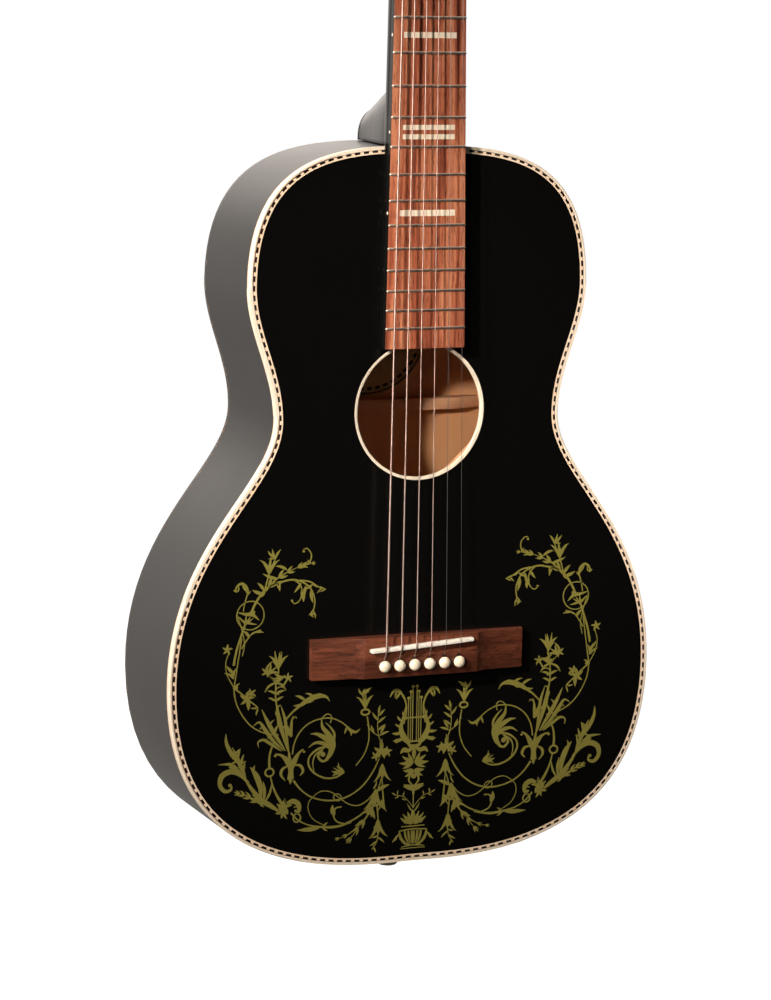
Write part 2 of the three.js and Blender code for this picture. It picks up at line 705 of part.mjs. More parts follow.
// The gear's outline of [x, z] points, with a gap facing the worm
function gearLoop(y, twist) {
  const loop = [];
  for (let tooth = 0; tooth < TEETH; tooth++) {
    const middle = (2 * Math.PI * (tooth + 0.5)) / TEETH + twist;
    const corners = [[-TOOTH.root / 2 / GEAR_ROOT, GEAR_ROOT], [-TOOTH.tip / 2 / GEAR_TIP, GEAR_TIP],
      [TOOTH.tip / 2 / GEAR_TIP, GEAR_TIP], [TOOTH.root / 2 / GEAR_ROOT, GEAR_ROOT]];
    loop.push(...corners.map(([turn, r]) => vector(r * Math.sin(middle + turn), y, r * Math.cos(middle + turn))));
  }
  return loop;
}

function tunerPost(i) {
  const [x, z] = postPoint(i);
  const near = GEAR_CENTRE_Y - GEAR_WIDTH / 2;
  const far = GEAR_CENTRE_Y + GEAR_WIDTH / 2;
  const lead = Math.atan(THREAD_PITCH / (2 * Math.PI * WORM_RADIUS));
  const twist = (Math.tan(lead) * GEAR_WIDTH) / 2 / GEAR_RADIUS;
  const gear = skin([gearLoop(near, -twist), gearLoop(far, twist)]);
  const top = -HEADPLATE - 16;
  const profile = [[0, top], [3.2, top + 0.5], [3.2, top + 3], [2.6, top + 4], [2.6, top + 8], [POST_RADIUS, top + 9.5],
    [POST_RADIUS, 14.6], [4.2, 14.8], [4.2, near + 0.5], [3, near + 0.5], [3, far + 1.3], [0, far + 1.3]];
  const hole = new THREE.CylinderGeometry(0.9, 0.9, 10, 6).rotateZ(Math.PI / 2).translate(0, top + 5.4, 0);
  const post = cut(join(turned(profile, 8), gear), hole);
  return toHead(post.translate(x, 0, z));
}

// ---- strings ----

// Where a string meets the winding on its post, on the post's inner side
function stringEnd(i) {
  const [x, z] = postPoint(i);
  const wound = POST_RADIUS + 2 * STRING_RADII[i - 1] + 0.35;
  const local = vector(x - postSide(i) * (wound + 0.1), -HEADPLATE - 8.4, z - 2.5);
  return local.applyAxisAngle(vector(1, 0, 0), -HEAD_TILT).add(vector(...HEAD_ORIGIN));
}

function stringPath(i) {
  const r = STRING_RADII[i - 1];
  const x = pinX(i);
  const saddleZ = SADDLE_Z + SADDLE_SLANT * x;
  const camber = 0.2 * Math.abs(x / PIN_SPREAD) * 2;
  const crown = SADDLE_CROWN + camber - r - 0.08;
  const down = STRING_SLOT_Z;
  return [vector(x, 8.4, down), vector(x, -9.2, down), vector(x, -10.8, down + 0.15), vector(x, crown + 1.6, saddleZ - 4),
    vector(x, crown, saddleZ - 0.6), vector(x, crown, saddleZ + 0.6), stringAtNut(i), stringEnd(i)];
}

function tube(path, radius, sides) {
  const loops = path.map((p, i) => {
    const before = path[Math.max(i - 1, 0)];
    const after = path[Math.min(i + 1, path.length - 1)];
    const run = after.clone().sub(before).normalize();
    const across = vector(1, 0, 0).addScaledVector(run, -run.x).normalize();
    const up = new THREE.Vector3().crossVectors(run, across);
    return along([0, 2 * Math.PI], sides + 1, (turn) => p.clone()
      .addScaledVector(across, radius * Math.cos(turn)).addScaledVector(up, radius * Math.sin(turn))).slice(0, sides);
  });
  return skin(loops);
}

function stringPiece(i) {
  const wire = tube(stringPath(i), STRING_RADII[i - 1], 6);
  const ball = new THREE.CylinderGeometry(BALL_RADIUS, BALL_RADIUS, 3.4, 10).rotateZ(Math.PI / 2);
  return join(wire, ball.translate(pinX(i), 8.4, STRING_SLOT_Z + 0.2));
}

function endPin() {
  const face = TAIL_Z - EDGE;
  const rim = face - 0.3;
  const end = face - END_PIN_OUT;
  const profile = [[0, end], [5.6, end], [7.4, end + 1.8], [7.4, end + 4], [4.6, end + 6.2], [4.6, end + 9],
    [6.6, rim - 1.6], [6.6, rim], [4.2, rim], [3.7, face + 26], [0, face + 26]];
  return turned(profile, 16).rotateX(Math.PI / 2).translate(0, END_PIN_Y, 0);
}

// ---- assembly ----

const MATERIALS = {
  blackLacquer: { color: "#0b0b0a", roughness: 0.28, metalness: 0 },
  ivoryPlastic: { color: "#f2e6cc", roughness: 0.4, metalness: 0 },
  purfling: { color: "#d8b98f", roughness: 0.5, metalness: 0 },
  spruce: { color: "#d9b98a", roughness: 0.7, metalness: 0 },
  rosewood: { color: "#6b3324", roughness: 0.6, metalness: 0 },
  bone: { color: "#efe7d8", roughness: 0.35, metalness: 0 },
  nickel: { color: "#b9b6ae", roughness: 0.3, metalness: 1 },
  bronze: { color: "#b9875a", roughness: 0.4, metalness: 1 },
  steel: { color: "#a9a9ad", roughness: 0.3, metalness: 1 },
};

const guitar = new THREE.Group();
guitar.position.set(0, -END_PIN_Y, EDGE + END_PIN_OUT - TAIL_Z);

function add(name, geometry, finish) {
  const mesh = new THREE.Mesh(geometry, new THREE.MeshStandardMaterial(MATERIALS[finish]));
  mesh.name = name;
  guitar.add(mesh);
}

add("soundboard", soundboard(), "blackLacquer");
add("soundhole_ring", soundholeRing(), "ivoryPlastic");
add("back", back(), "blackLacquer");
add("side_bass", side(-1), "blackLacquer");
add("side_treble", side(1), "blackLacquer");
add("top_purfling", topPurfling(), "purfling");
add("top_binding", topBinding(), "ivoryPlastic");
add("neck_block", neckBlock(), "spruce");
add("tail_block", tailBlock(), "spruce");
add("top_lining_bass", topLining(-1), "spruce");
add("top_lining_treble", topLining(1), "spruce");
add("back_lining_bass", backLining(-1), "spruce");
add("back_lining_treble", backLining(1), "spruce");
add("x_brace_bass", xBrace(-1, 0, TOP_THICKNESS + SEAT + 7.2), "spruce");
add("x_brace_treble", xBrace(1, TOP_THICKNESS + SEAT + 6.8, 40), "spruce");
add("upper_brace", topBar(204, 9, 13, 0, 0, -96), "spruce");
add("tone_bar", topBar(170, 7, 11, 0.27, -15, -402), "spruce");
add("bridge_plate", bridgePlate(), "spruce");
add("back_brace_1", backBrace(-88, 100, 13), "spruce");
add("back_brace_2", backBrace(-182, 84, 13), "spruce");
add("back_brace_3", backBrace(-292, 138, 12), "spruce");
add("back_brace_4", backBrace(-388, 148, 12), "spruce");
add("bridge", bridge(), "rosewood");
add("saddle", saddle(), "bone");
for (let i = 1; i <= 6; i++) add(`bridge_pin_${i}`, bridgePin(i), "ivoryPlastic");
add("end_pin", endPin(), "ivoryPlastic");
add("neck", neck(), "blackLacquer");
add("heel_cap", heelCap(), "blackLacquer");
add("fingerboard", fingerboard(), "rosewood");
add("nut", nut(), "bone");
add("truss_rod", trussRod(), "steel");
add("truss_rod_nut", trussRodNut(), "steel");
add("truss_rod_cover", trussRodCover(), "blackLacquer");
add("headplate", headplate(), "rosewood");
add("tuner_plate_treble", tunerPlate(1), "nickel");
add("tuner_plate_bass", tunerPlate(-1), "nickel");
for (let i = 1; i <= 6; i++) add(`tuner_shaft_${i}`, tunerShaft(i), "nickel");
for (let i = 1; i <= 6; i++) add(`tuner_post_${i}`, tunerPost(i), "nickel");
for (let i = 1; i <= 6; i++) add(`string_${i}`, stringPiece(i), i <= 2 ? "steel" : "bronze");

const group = new THREE.Group();
group.add(guitar);
export default group;
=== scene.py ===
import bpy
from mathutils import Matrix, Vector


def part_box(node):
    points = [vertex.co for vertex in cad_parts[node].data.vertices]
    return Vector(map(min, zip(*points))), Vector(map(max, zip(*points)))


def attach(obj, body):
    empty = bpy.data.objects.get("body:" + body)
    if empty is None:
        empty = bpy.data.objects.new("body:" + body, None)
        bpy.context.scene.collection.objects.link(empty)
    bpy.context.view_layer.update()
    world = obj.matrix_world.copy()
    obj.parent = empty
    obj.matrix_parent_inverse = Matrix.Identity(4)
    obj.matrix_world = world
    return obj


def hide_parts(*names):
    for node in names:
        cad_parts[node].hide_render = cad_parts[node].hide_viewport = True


bl_info = {
    "name": "Parlour Guitar",
    "version": (1, 0, 0),
    "blender": (4, 5, 0),
    "location": "View3D > Sidebar > Guitar",
    "description": "Builds the visible pieces of a twelve-fret parlour guitar on its packed frame",
    "category": "Add Mesh",
}

import math

import bmesh
import bpy
from mathutils import Matrix, Vector

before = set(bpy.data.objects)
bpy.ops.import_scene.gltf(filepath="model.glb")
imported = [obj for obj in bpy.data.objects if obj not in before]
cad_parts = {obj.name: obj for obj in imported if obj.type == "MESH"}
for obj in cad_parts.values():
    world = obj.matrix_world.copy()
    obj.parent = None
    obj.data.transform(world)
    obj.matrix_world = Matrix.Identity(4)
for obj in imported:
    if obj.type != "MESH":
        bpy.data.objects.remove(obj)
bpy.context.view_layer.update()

# Sizes in millimetres, in the layout frame: z = 0 at the twelfth fret, y = 0 on the soundboard's face.
MM = 0.001
SCALE = 645.0
NUT_Z = SCALE / 2
NUT_LENGTH = 5.5
BOARD_END_Z = -132.8
STRING_RADII = (0.15, 0.2, 0.31, 0.41, 0.53, 0.66)
NUT_SPREAD = 36.5
PIN_SPREAD = 54.2
TAIL_Z = -478.9
NECK_Z = -4.1
HOLE_Z = -175.2
EDGE = 4.6
ROPE_OUT = 2.6
BRIDGE_FRONT = -10.3
PIN_Z = -345.0
STRING_SLOT_Z = -340.3
SADDLE_Z = -332.15
SADDLE_SLANT = 0.0573
SADDLE_CROWN = -13.8
HEAD_TILT = math.radians(14)
POST_X = 22.0
POST_HEIGHTS = (36, 77, 118, 118, 77, 36)
GEAR_Y = 18.4
WORM_RISE = 9.1
HEADPLATE = 2.0
THREAD_PITCH = 2 * math.pi * 6.3 / 14

FRONT_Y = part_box("soundboard")[0][1]
TWELFTH_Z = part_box("fingerboard")[0][2] - BOARD_END_Z * MM
BODY_AT = Matrix.Translation((0, FRONT_Y, TWELFTH_Z)) @ Matrix.Scale(MM, 4)
HEAD_AT = (BODY_AT @ Matrix.Translation((0, -2, NUT_Z + NUT_LENGTH + 0.4))
           @ Matrix.Rotation(-HEAD_TILT, 4, "X"))
HEAD_IN_LAYOUT = BODY_AT.inverted() @ HEAD_AT
SADDLE_AT = (Matrix.Translation((0, 0, SADDLE_Z))
             @ Matrix.Rotation(-math.atan(SADDLE_SLANT), 4, "Y"))
GUITAR = "guitar"


# ---------------------------------------------------------------- settings a user would change

def linear(colour):
    """Turns an sRGB hex value into the linear colour that a shader takes."""
    parts = [int(colour[i:i + 2], 16) / 255 for i in (1, 3, 5)]
    return tuple(c / 12.92 if c <= 0.04045 else ((c + 0.055) / 1.055) ** 2.4 for c in parts) + (1.0,)


class GuitarSizes(bpy.types.PropertyGroup):
    rope_dashes: bpy.props.IntProperty(
        name="Rope dashes", description="Black dashes in the inlay round the top", default=224, min=40)
    fret_width: bpy.props.FloatProperty(
        name="Fret width", description="Width of the fret crown", default=2.0 * MM, min=1.0 * MM,
        precision=5, unit="LENGTH")
    ring_steps: bpy.props.IntProperty(
        name="Turning steps", description="Faces round each turned piece", default=40, min=12)
    film: bpy.props.FloatProperty(
        name="Paint film", description="Height of the painted ornament", default=0.05 * MM, min=0.01 * MM,
        precision=5, unit="LENGTH")


class GuitarColours(bpy.types.PropertyGroup):
    lacquer: bpy.props.FloatVectorProperty(
        name="Lacquer", description="Colour of the black lacquer", default=linear("#090908"),
        size=4, min=0.0, max=1.0, subtype="COLOR")
    ivory: bpy.props.FloatVectorProperty(
        name="Ivory", description="Colour of the edge binding", default=linear("#F0E3CE"),
        size=4, min=0.0, max=1.0, subtype="COLOR")
    rosewood: bpy.props.FloatVectorProperty(
        name="Rosewood", description="Colour of the fingerboard", default=linear("#A4583C"),
        size=4, min=0.0, max=1.0, subtype="COLOR")
    paint: bpy.props.FloatVectorProperty(
        name="Paint", description="Colour of the ornament", default=linear("#7C7634"),
        size=4, min=0.0, max=1.0, subtype="COLOR")


# ---------------------------------------------------------------- materials

def set_stops(elements, stops):
    """Gives a colour ramp its stops of (position, sRGB hex or linear colour)."""
    while len(elements) < len(stops):
        elements.new(0.5)
    for element, (position, colour) in zip(elements, stops):
        element.position = position
        element.color = linear(colour) if isinstance(colour, str) else colour


def node(tree, kind, settings=None, inputs=None, outputs=None):
    """Adds a node, sets its properties or stops, fills or links its inputs, and links its outputs."""
    made = tree.nodes.new(kind)
    for key, value in (settings or {}).items():
        if key == "stops":
            set_stops(made.color_ramp.elements, value)
        else:
            setattr(made, key, value)
    for key, value in (inputs or {}).items():
        if isinstance(value, bpy.types.NodeSocket):
            tree.links.new(value, made.inputs[key])
        else:
            made.inputs[key].default_value = value
    for key, socket in (outputs or {}).items():
        tree.links.new(made.outputs[key], socket)
    return made


def start_material(name):
    """A new material: its tree and its Principled shader, or None if it was made before."""
    material = bpy.data.materials.get(name)
    if material:
        return material, None, None
    material = bpy.data.materials.new(name)
    material.use_nodes = True
    tree = material.node_tree
    return material, tree, tree.nodes["Principled BSDF"]


def pattern(tree, kind, sizes, inputs, settings=None):
    """A texture of any kind on the piece's own coordinates, with one unit of it so many millimetres
    long on each axis. A noise has features about one unit across."""
    own = node(tree, "ShaderNodeTexCoord").outputs["Object"]
    scale = [1 / (size * MM) for size in sizes]
    scaled = node(tree, "ShaderNodeMapping", None, {"Vector": own, "Scale": scale}).outputs["Vector"]
    return node(tree, kind, settings, {"Vector": scaled, "Scale": 1.0, **inputs}).outputs["Fac"]


def set_values(shader, **values):
    """Sets the shader's own sockets, with underscores for the spaces in their names."""
    for key, value in values.items():
        shader.inputs[key.replace("_", " ")].default_value = value


def black_lacquer(name="satin_black_nitro_lacquer", roughness=0.24):
    # Sprayed black lacquer, levelled and buffed to satin: deep black, with a faint ripple 3 mm across.
    material, tree, shader = start_material(name)
    if not shader:
        return material
    colours = bpy.context.scene.guitar_colours
    set_values(shader, Base_Color=colours.lacquer, IOR=1.5, Coat_Roughness=0.1)
    ripple = pattern(tree, "ShaderNodeTexNoise", (3.03, 3.03, 3.03), {"Detail": 2.0, "Roughness": 0.55})
    haze = pattern(tree, "ShaderNodeTexNoise", (55.6, 55.6, 55.6), {"Detail": 3.0, "Roughness": 0.55})
    gloss = {"Value": haze, "To Min": roughness - 0.035, "To Max": roughness + 0.045}
    node(tree, "ShaderNodeMapRange", None, gloss, {"Result": shader.inputs["Roughness"]})
    relief = {"Height": ripple, "Distance": 0.012 * MM, "Strength": 1.0}
    node(tree, "ShaderNodeBump", None, relief, {"Normal": shader.inputs["Normal"]})
    return material


def ivory_plastic():
    # Cast cellulose plastic with a faint grain like ivory, 1.5 mm between its lines, scraped and polished.
    material, tree, shader = start_material("ivoroid_celluloid")
    if not shader:
        return material
    ivory = bpy.context.scene.guitar_colours.ivory
    grain = pattern(tree, "ShaderNodeTexNoise", (1.54, 1.54, 16.7), {"Detail": 3.0, "Roughness": 0.55})
    node(tree, "ShaderNodeValToRGB", {"stops": [(0.3, "#E6D6BC"), (0.6, ivory)]}, {"Fac": grain},
         {"Color": shader.inputs["Base Color"]})
    set_values(shader, Roughness=0.32, IOR=1.5, Subsurface_Weight=0.08, Subsurface_Scale=MM)
    shader.inputs["Subsurface Radius"].default_value = (1.0, 0.8, 0.5)
    scraped = pattern(tree, "ShaderNodeTexNoise", (1.11, 1.11, 1.11), {"Detail": 2.0, "Roughness": 0.55})
    relief = {"Height": scraped, "Distance": 0.006 * MM, "Strength": 1.0}
    node(tree, "ShaderNodeBump", None, relief, {"Normal": shader.inputs["Normal"]})
    return material


def lengthwise(axis, across, along):
    """Sizes for a pattern that is stretched along one axis."""
    return tuple(along if k == "XYZ".index(axis) else across for k in range(3))


def rosewood(name, axis, light, middle, dark, roughness=0.5, contrast=1.0):
    # Oiled, open-pored rosewood: streaks 4 to 10 mm wide along the grain, and pores like short scratches.
    material, tree, shader = start_material(name)
    if not shader:
        return material
    streak = pattern(tree, "ShaderNodeTexNoise", lengthwise(axis, 3.85, 111),
                     {"Detail": 5.0, "Roughness": 0.62, "Distortion": 0.35})
    band = pattern(tree, "ShaderNodeTexNoise", lengthwise(axis, 10.5, 250),
                   {"Detail": 2.0, "Roughness": 0.55})
    mixed = node(tree, "ShaderNodeMath", {"operation": "MULTIPLY_ADD"}, {0: band, 1: 0.45, 2: streak})
    half_way = 0.68
    reach = 0.16 / contrast
    stops = [(half_way - reach, dark), (half_way, middle), (half_way + reach, light)]
    shade = node(tree, "ShaderNodeValToRGB", {"stops": stops}, {"Fac": mixed.outputs[0]})
    pores = pattern(tree, "ShaderNodeTexNoise", lengthwise(axis, 0.417, 7.69),
                    {"Detail": 2.0, "Roughness": 0.5})
    pore = node(tree, "ShaderNodeMapRange", None, {"Value": pores, "From Min": 0.33, "From Max": 0.42})
    filled = node(tree, "ShaderNodeValToRGB", {"stops": [(0.0, "#8A7468"), (1.0, "#FFFFFF")]},
                  {"Fac": pore.outputs["Result"]})
    node(tree, "ShaderNodeMix", {"data_type": "RGBA", "blend_type": "MULTIPLY"},
         {"Factor": 1.0, 6: shade.outputs["Color"], 7: filled.outputs["Color"]},
         {2: shader.inputs["Base Color"]})
    set_values(shader, Roughness=roughness, IOR=1.48)
    relief = {"Height": pore.outputs["Result"], "Distance": 0.05 * MM, "Strength": 1.0}
    node(tree, "ShaderNodeBump", None, relief, {"Normal": shader.inputs["Normal"]})
    return material


def soft_wood(name, light, dark, axis="Z", lines=1.0):
    # Bare planed wood: growth lines about 2 mm apart along the grain, with a dull, dry surface.
    material, tree, shader = start_material(name)
    if not shader:
        return material
    growth = pattern(tree, "ShaderNodeTexNoise", lengthwise(axis, 2.083, 333.3),
                     {"Detail": 3.0, "Roughness": 0.6, "Distortion": 0.2})
    cloud = pattern(tree, "ShaderNodeTexNoise", lengthwise(axis, 33.3, 166.7),
                    {"Detail": 2.0, "Roughness": 0.55})
    mixed = node(tree, "ShaderNodeMath", {"operation": "MULTIPLY_ADD"}, {0: growth, 1: 0.5 * lines, 2: cloud})
    middle = 0.5 + 0.25 * lines
    node(tree, "ShaderNodeValToRGB", {"stops": [(middle - 0.2, dark), (middle + 0.15, light)]},
         {"Fac": mixed.outputs[0]}, {"Color": shader.inputs["Base Color"]})
    set_values(shader, Roughness=0.72, IOR=1.45)
    fibre = pattern(tree, "ShaderNodeTexNoise", lengthwise(axis, 0.667, 11.1),
                    {"Detail": 3.0, "Roughness": 0.55})
    relief = {"Height": fibre, "Distance": 0.04 * MM, "Strength": 1.0}
    node(tree, "ShaderNodeBump", None, relief, {"Normal": shader.inputs["Normal"]})
    return material


def bone():
    # Cut and polished ox bone: off-white, with a few faint pores and a soft gloss.
    material, tree, shader = start_material("polished_bone")
    if not shader:
        return material
    fleck = pattern(tree, "ShaderNodeTexNoise", (1.43, 4, 1.43), {"Detail": 4.0, "Roughness": 0.6})
    node(tree, "ShaderNodeValToRGB", {"stops": [(0.3, "#D9CFBE"), (0.55, "#F3EEE2")]}, {"Fac": fleck},
         {"Color": shader.inputs["Base Color"]})
    set_values(shader, Roughness=0.3, IOR=1.54, Subsurface_Weight=0.1, Subsurface_Scale=MM)
    relief = {"Height": fleck, "Distance": 0.01 * MM, "Strength": 1.0}
    node(tree, "ShaderNodeBump", None, relief, {"Normal": shader.inputs["Normal"]})
    return material


def moulded_plastic(name, pale, deep, roughness=0.22):
    # Moulded plastic the colour of old ivory, tumbled smooth, with slightly uneven colour.
    material, tree, shader = start_material(name)
    if not shader:
        return material
    cloud = pattern(tree, "ShaderNodeTexNoise", (6.25, 6.25, 6.25), {"Detail": 3.0, "Roughness": 0.55})
    node(tree, "ShaderNodeValToRGB", {"stops": [(0.3, deep), (0.65, pale)]}, {"Fac": cloud},
         {"Color": shader.inputs["Base Color"]})
    set_values(shader, Roughness=roughness, IOR=1.49, Subsurface_Weight=0.12, Subsurface_Scale=1.5 * MM)
    tumbled = pattern(tree, "ShaderNodeTexNoise", (2, 2, 2), {"Detail": 2.0, "Roughness": 0.55})
    relief = {"Height": tumbled, "Distance": 0.008 * MM, "Strength": 1.0}
    node(tree, "ShaderNodeBump", None, relief, {"Normal": shader.inputs["Normal"]})
    return material


def plated_metal(name, colour, roughness):
    # Plated or drawn metal: fine polishing lines 0.4 mm apart break up the highlights.
    material, tree, shader = start_material(name)
    if not shader:
        return material
    set_values(shader, Base_Color=linear(colour), Metallic=1.0)
    lines = pattern(tree, "ShaderNodeTexNoise", (0.4, 2.5, 2.5), {"Detail": 3.0, "Roughness": 0.55})
    gloss = {"Value": lines, "To Min": roughness - 0.06, "To Max": roughness + 0.12}
    node(tree, "ShaderNodeMapRange", None, gloss, {"Result": shader.inputs["Roughness"]})
    relief = {"Height": lines, "Distance": 0.006 * MM, "Strength": 1.0}
    node(tree, "ShaderNodeBump", None, relief, {"Normal": shader.inputs["Normal"]})
    return material


def wound_bronze():
    # Round bronze wire wound on a steel core. Real turns are 0.3 mm apart, too fine to show in a view of the
    # whole guitar, so they are drawn 0.6 mm apart, with painted shade in the grooves between them.
    material, tree, shader = start_material("phosphor_bronze_winding")
    if not shader:
        return material
    spacing = 0.6042
    band_length = math.pi / 10
    unit = spacing / band_length
    turns = pattern(tree, "ShaderNodeTexWave", (unit, unit, unit), {},
                    {"wave_type": "BANDS", "bands_direction": "Z"})
    # Painted shade: the dark stop darkens the groove between turns, and the light stop is the wire's crown.
    node(tree, "ShaderNodeValToRGB", {"stops": [(0.0, "#8E7468"), (0.6, "#C8B0A6")]}, {"Fac": turns},
         {"Color": shader.inputs["Base Color"]})
    set_values(shader, Metallic=1.0, Roughness=0.46)
    relief = {"Height": turns, "Distance": 0.06 * MM, "Strength": 1.0}
    node(tree, "ShaderNodeBump", None, relief, {"Normal": shader.inputs["Normal"]})
    return material


def ornament_paint():
    # Flat olive-gold enamel laid through a stencil: dull, slightly uneven, and thinner in places.
    material, tree, shader = start_material("olive_gold_stencil_enamel")
    if not shader:
        return material
    paint = bpy.context.scene.guitar_colours.paint
    cloud = pattern(tree, "ShaderNodeTexNoise", (16.7, 16.7, 16.7), {"Detail": 4.0, "Roughness": 0.55})
    node(tree, "ShaderNodeValToRGB", {"stops": [(0.3, "#787230"), (0.6, paint)]}, {"Fac": cloud},
         {"Color": shader.inputs["Base Color"]})
    set_values(shader, Roughness=0.62, IOR=1.45)
    brushed = pattern(tree, "ShaderNodeTexNoise", (0.714, 0.714, 0.714), {"Detail": 2.0, "Roughness": 0.55})
    relief = {"Height": brushed, "Distance": 0.01 * MM, "Strength": 1.0}
    node(tree, "ShaderNodeBump", None, relief, {"Normal": shader.inputs["Normal"]})
    return material


def label_paper():
    # Uncoated paper, yellowed with age and darkened further as painted shade for the dim inside of the body,
    # with soft fibres.
    material, tree, shader = start_material("aged_and_shaded_label_paper")
    if not shader:
        return material
    fibre = pattern(tree, "ShaderNodeTexNoise", (1.11, 1.11, 1.11), {"Detail": 4.0, "Roughness": 0.55})
    # Painted shade: these browns are darker than the paper itself, so the label reads as lying in the shade
    # inside the body.
    node(tree, "ShaderNodeValToRGB", {"stops": [(0.3, "#A8916A"), (0.65, "#BFA87E")]}, {"Fac": fibre},
         {"Color": shader.inputs["Base Color"]})
    set_values(shader, Roughness=0.85, IOR=1.45)
    relief = {"Height": fibre, "Distance": 0.02 * MM, "Strength": 1.0}
    node(tree, "ShaderNodeBump", None, relief, {"Normal": shader.inputs["Normal"]})
    return material


def neck_rosewood():
    middle = bpy.context.scene.guitar_colours.rosewood
    return rosewood("fingerboard_rosewood", "Z", "#C57F5C", middle, "#652F1E")


def bridge_rosewood():
    return rosewood("bridge_rosewood", "X", "#6E3C28", "#552C1D", "#3A1C10", 0.42, 1.0)


def head_rosewood():
    return rosewood("headplate_rosewood", "Z", "#7A4430", "#5C2E20", "#3A1B12", 0.34)


def pale_top_wood():
    return soft_wood("planed_spruce", "#E2BC8E", "#C79A6A")


def pale_back_wood():
    return soft_wood("planed_maple", "#EDBB8C", "#DCA474", "Z", 0.3)


def polished_ivory():
    return moulded_plastic("polished_ivory_plastic", "#F7EDD8", "#E8D9B8")


def cross_wood():
    return soft_wood("cross_cut_spruce", "#EDB68C", "#D69C70", "X", 0.4)


def nickel():
    return plated_metal("nickel_plated_brass", "#C9C5BC", 0.24)


def fret_wire():
    return plated_metal("nickel_silver_wire", "#E2D6C8", 0.42)


def plain_steel():
    return plated_metal("drawn_music_wire", "#A09C9A", 0.3)


# ---------------------------------------------------------------- shape tools

def loop_edges(bm, points, closed=True):
    verts = [bm.verts.new(p) for p in points]
    ends = verts[1:] + verts[:1] if closed else verts[1:]
    return [bm.edges.new(pair) for pair in zip(verts, ends)]


def thicken(bm, faces, shift):
    """Extrudes flat faces by a vector, or by a function of each new corner's position."""
    made = bmesh.ops.extrude_face_region(bm, geom=faces)
    moved = [v for v in made["geom"] if isinstance(v, bmesh.types.BMVert)]
    for vert in moved:
        vert.co += shift(vert.co) if callable(shift) else Vector(shift)
    return moved


def soften(bm, width, segments=2, angle=40, edges=None):
    """Rounds the edges that turn by more than an angle."""
    sharp = [e for e in (edges or bm.edges) if len(e.link_faces) == 2
             and e.calc_face_angle(0) > math.radians(angle)]
    bmesh.ops.bevel(bm, geom=sharp, offset=width, offset_type="OFFSET", segments=segments,
                    profile=0.5, affect="EDGES", material=-1, clamp_overlap=True)


def plate(bm, points, front, back, width=0.0, segments=2):
    """A flat plate between two depths, from an outline of (x, z) points."""
    old = set(bm.verts)
    verts = [bm.verts.new((x, front, z)) for x, z in points]
    face = bm.faces.new(verts)
    thicken(bm, [face], (0, back - front, 0))
    edges = list({e for v in bm.verts if v not in old for e in v.link_edges})
    if width:
        soften(bm, width, segments, 40, edges)


def spun(bm, profile, place=Matrix(), steps=None, closed=False):
    """Turns a profile of (radius, height) pairs round the Z axis, then moves it to its place."""
    old = set(bm.verts)
    edges = loop_edges(bm, [(r, 0, h) for r, h in profile], closed)
    verts = list({v for e in edges for v in e.verts})
    steps = steps or bpy.context.scene.guitar_sizes.ring_steps
    bmesh.ops.spin(bm, geom=verts + edges, cent=(0, 0, 0), axis=(0, 0, 1), angle=2 * math.pi,
                   steps=steps, use_merge=True)
    bmesh.ops.transform(bm, matrix=place, verts=[v for v in bm.verts if v not in old])


def rounded(profile, width=0.3):
    """Cuts each corner of an open profile, so that turned edges catch the light."""
    points = [Vector(p) for p in profile]
    made = [points[0]]
    for before, here, after in zip(points, points[1:], points[2:]):
        a = min(width, (before - here).length * 0.45)
        b = min(width, (after - here).length * 0.45)
        if (here - before).angle(after - here, 0) < 0.3:
            made.append(here)
            continue
        made += [here + (before - here).normalized() * a, here + ((before - here).normalized() * a
                 + (after - here).normalized() * b) * 0.3, here + (after - here).normalized() * b]
    return [tuple(p) for p in made + [points[-1]]]


def section_skin(bm, sections):
    """Bridges closed loops of points one after another and fills both ends."""
    loops = [loop_edges(bm, points) for points in sections]
    for near, far in zip(loops, loops[1:]):
        bmesh.ops.bridge_loops(bm, edges=near + far)
    for end in (loops[0], loops[-1]):
        bmesh.ops.contextual_create(bm, geom=end)


def finish_piece(name, bm, materials, replaces=(), body=GUITAR, place=BODY_AT, angle=35, paint=None):
    """Closes a piece: merges doubles, faces it outwards, puts it in its place and hands it to its body."""
    bmesh.ops.remove_doubles(bm, verts=bm.verts, dist=0.002)
    bmesh.ops.recalc_face_normals(bm, faces=bm.faces)
    if paint:
        for face in bm.faces:
            face.material_index = paint(face)
    bmesh.ops.transform(bm, matrix=place, verts=bm.verts)
    mesh = bpy.data.meshes.new(name)
    bm.to_mesh(mesh)
    bm.free()
    for material in materials:
        mesh.materials.append(material)
    mesh.shade_smooth()
    mesh.set_sharp_from_angle(angle=math.radians(angle))
    piece = bpy.data.objects.new(name, mesh)
    bpy.context.scene.collection.objects.link(piece)
    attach(piece, body)
    if replaces:
        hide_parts(*replaces)
    return piece


def dress(material, *names):
    """Gives CAD nodes that stay in view their material."""
    for name in names:
        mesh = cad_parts[name].data
        mesh.materials.clear()
        mesh.materials.append(material)


def ease_edges(name, width, segments=3, angle=35, smooth=True):
    """Rounds a CAD node's edges with modifiers, on its own unchanged mesh."""
    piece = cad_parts[name]
    weld = piece.modifiers.new("weld", "WELD")
    weld.merge_threshold = 0.00001
    edge = piece.modifiers.new("eased_edges", "BEVEL")
    edge.width = width * MM
    edge.segments = segments
    edge.limit_method = "ANGLE"
    edge.angle_limit = math.radians(angle)
    if smooth:
        edge.harden_normals = True
        piece.data.shade_smooth()


# ---------------------------------------------------------------- body outline and depth

def bezier(a, b, c, d, t):
    s = 1 - t
    point = a * s ** 3 + b * 3 * s * s * t + c * 3 * s * t * t + d * t ** 3
    slope = (b - a) * 3 * s * s + (c - b) * 6 * s * t + (d - c) * 3 * t * t
    return point, slope


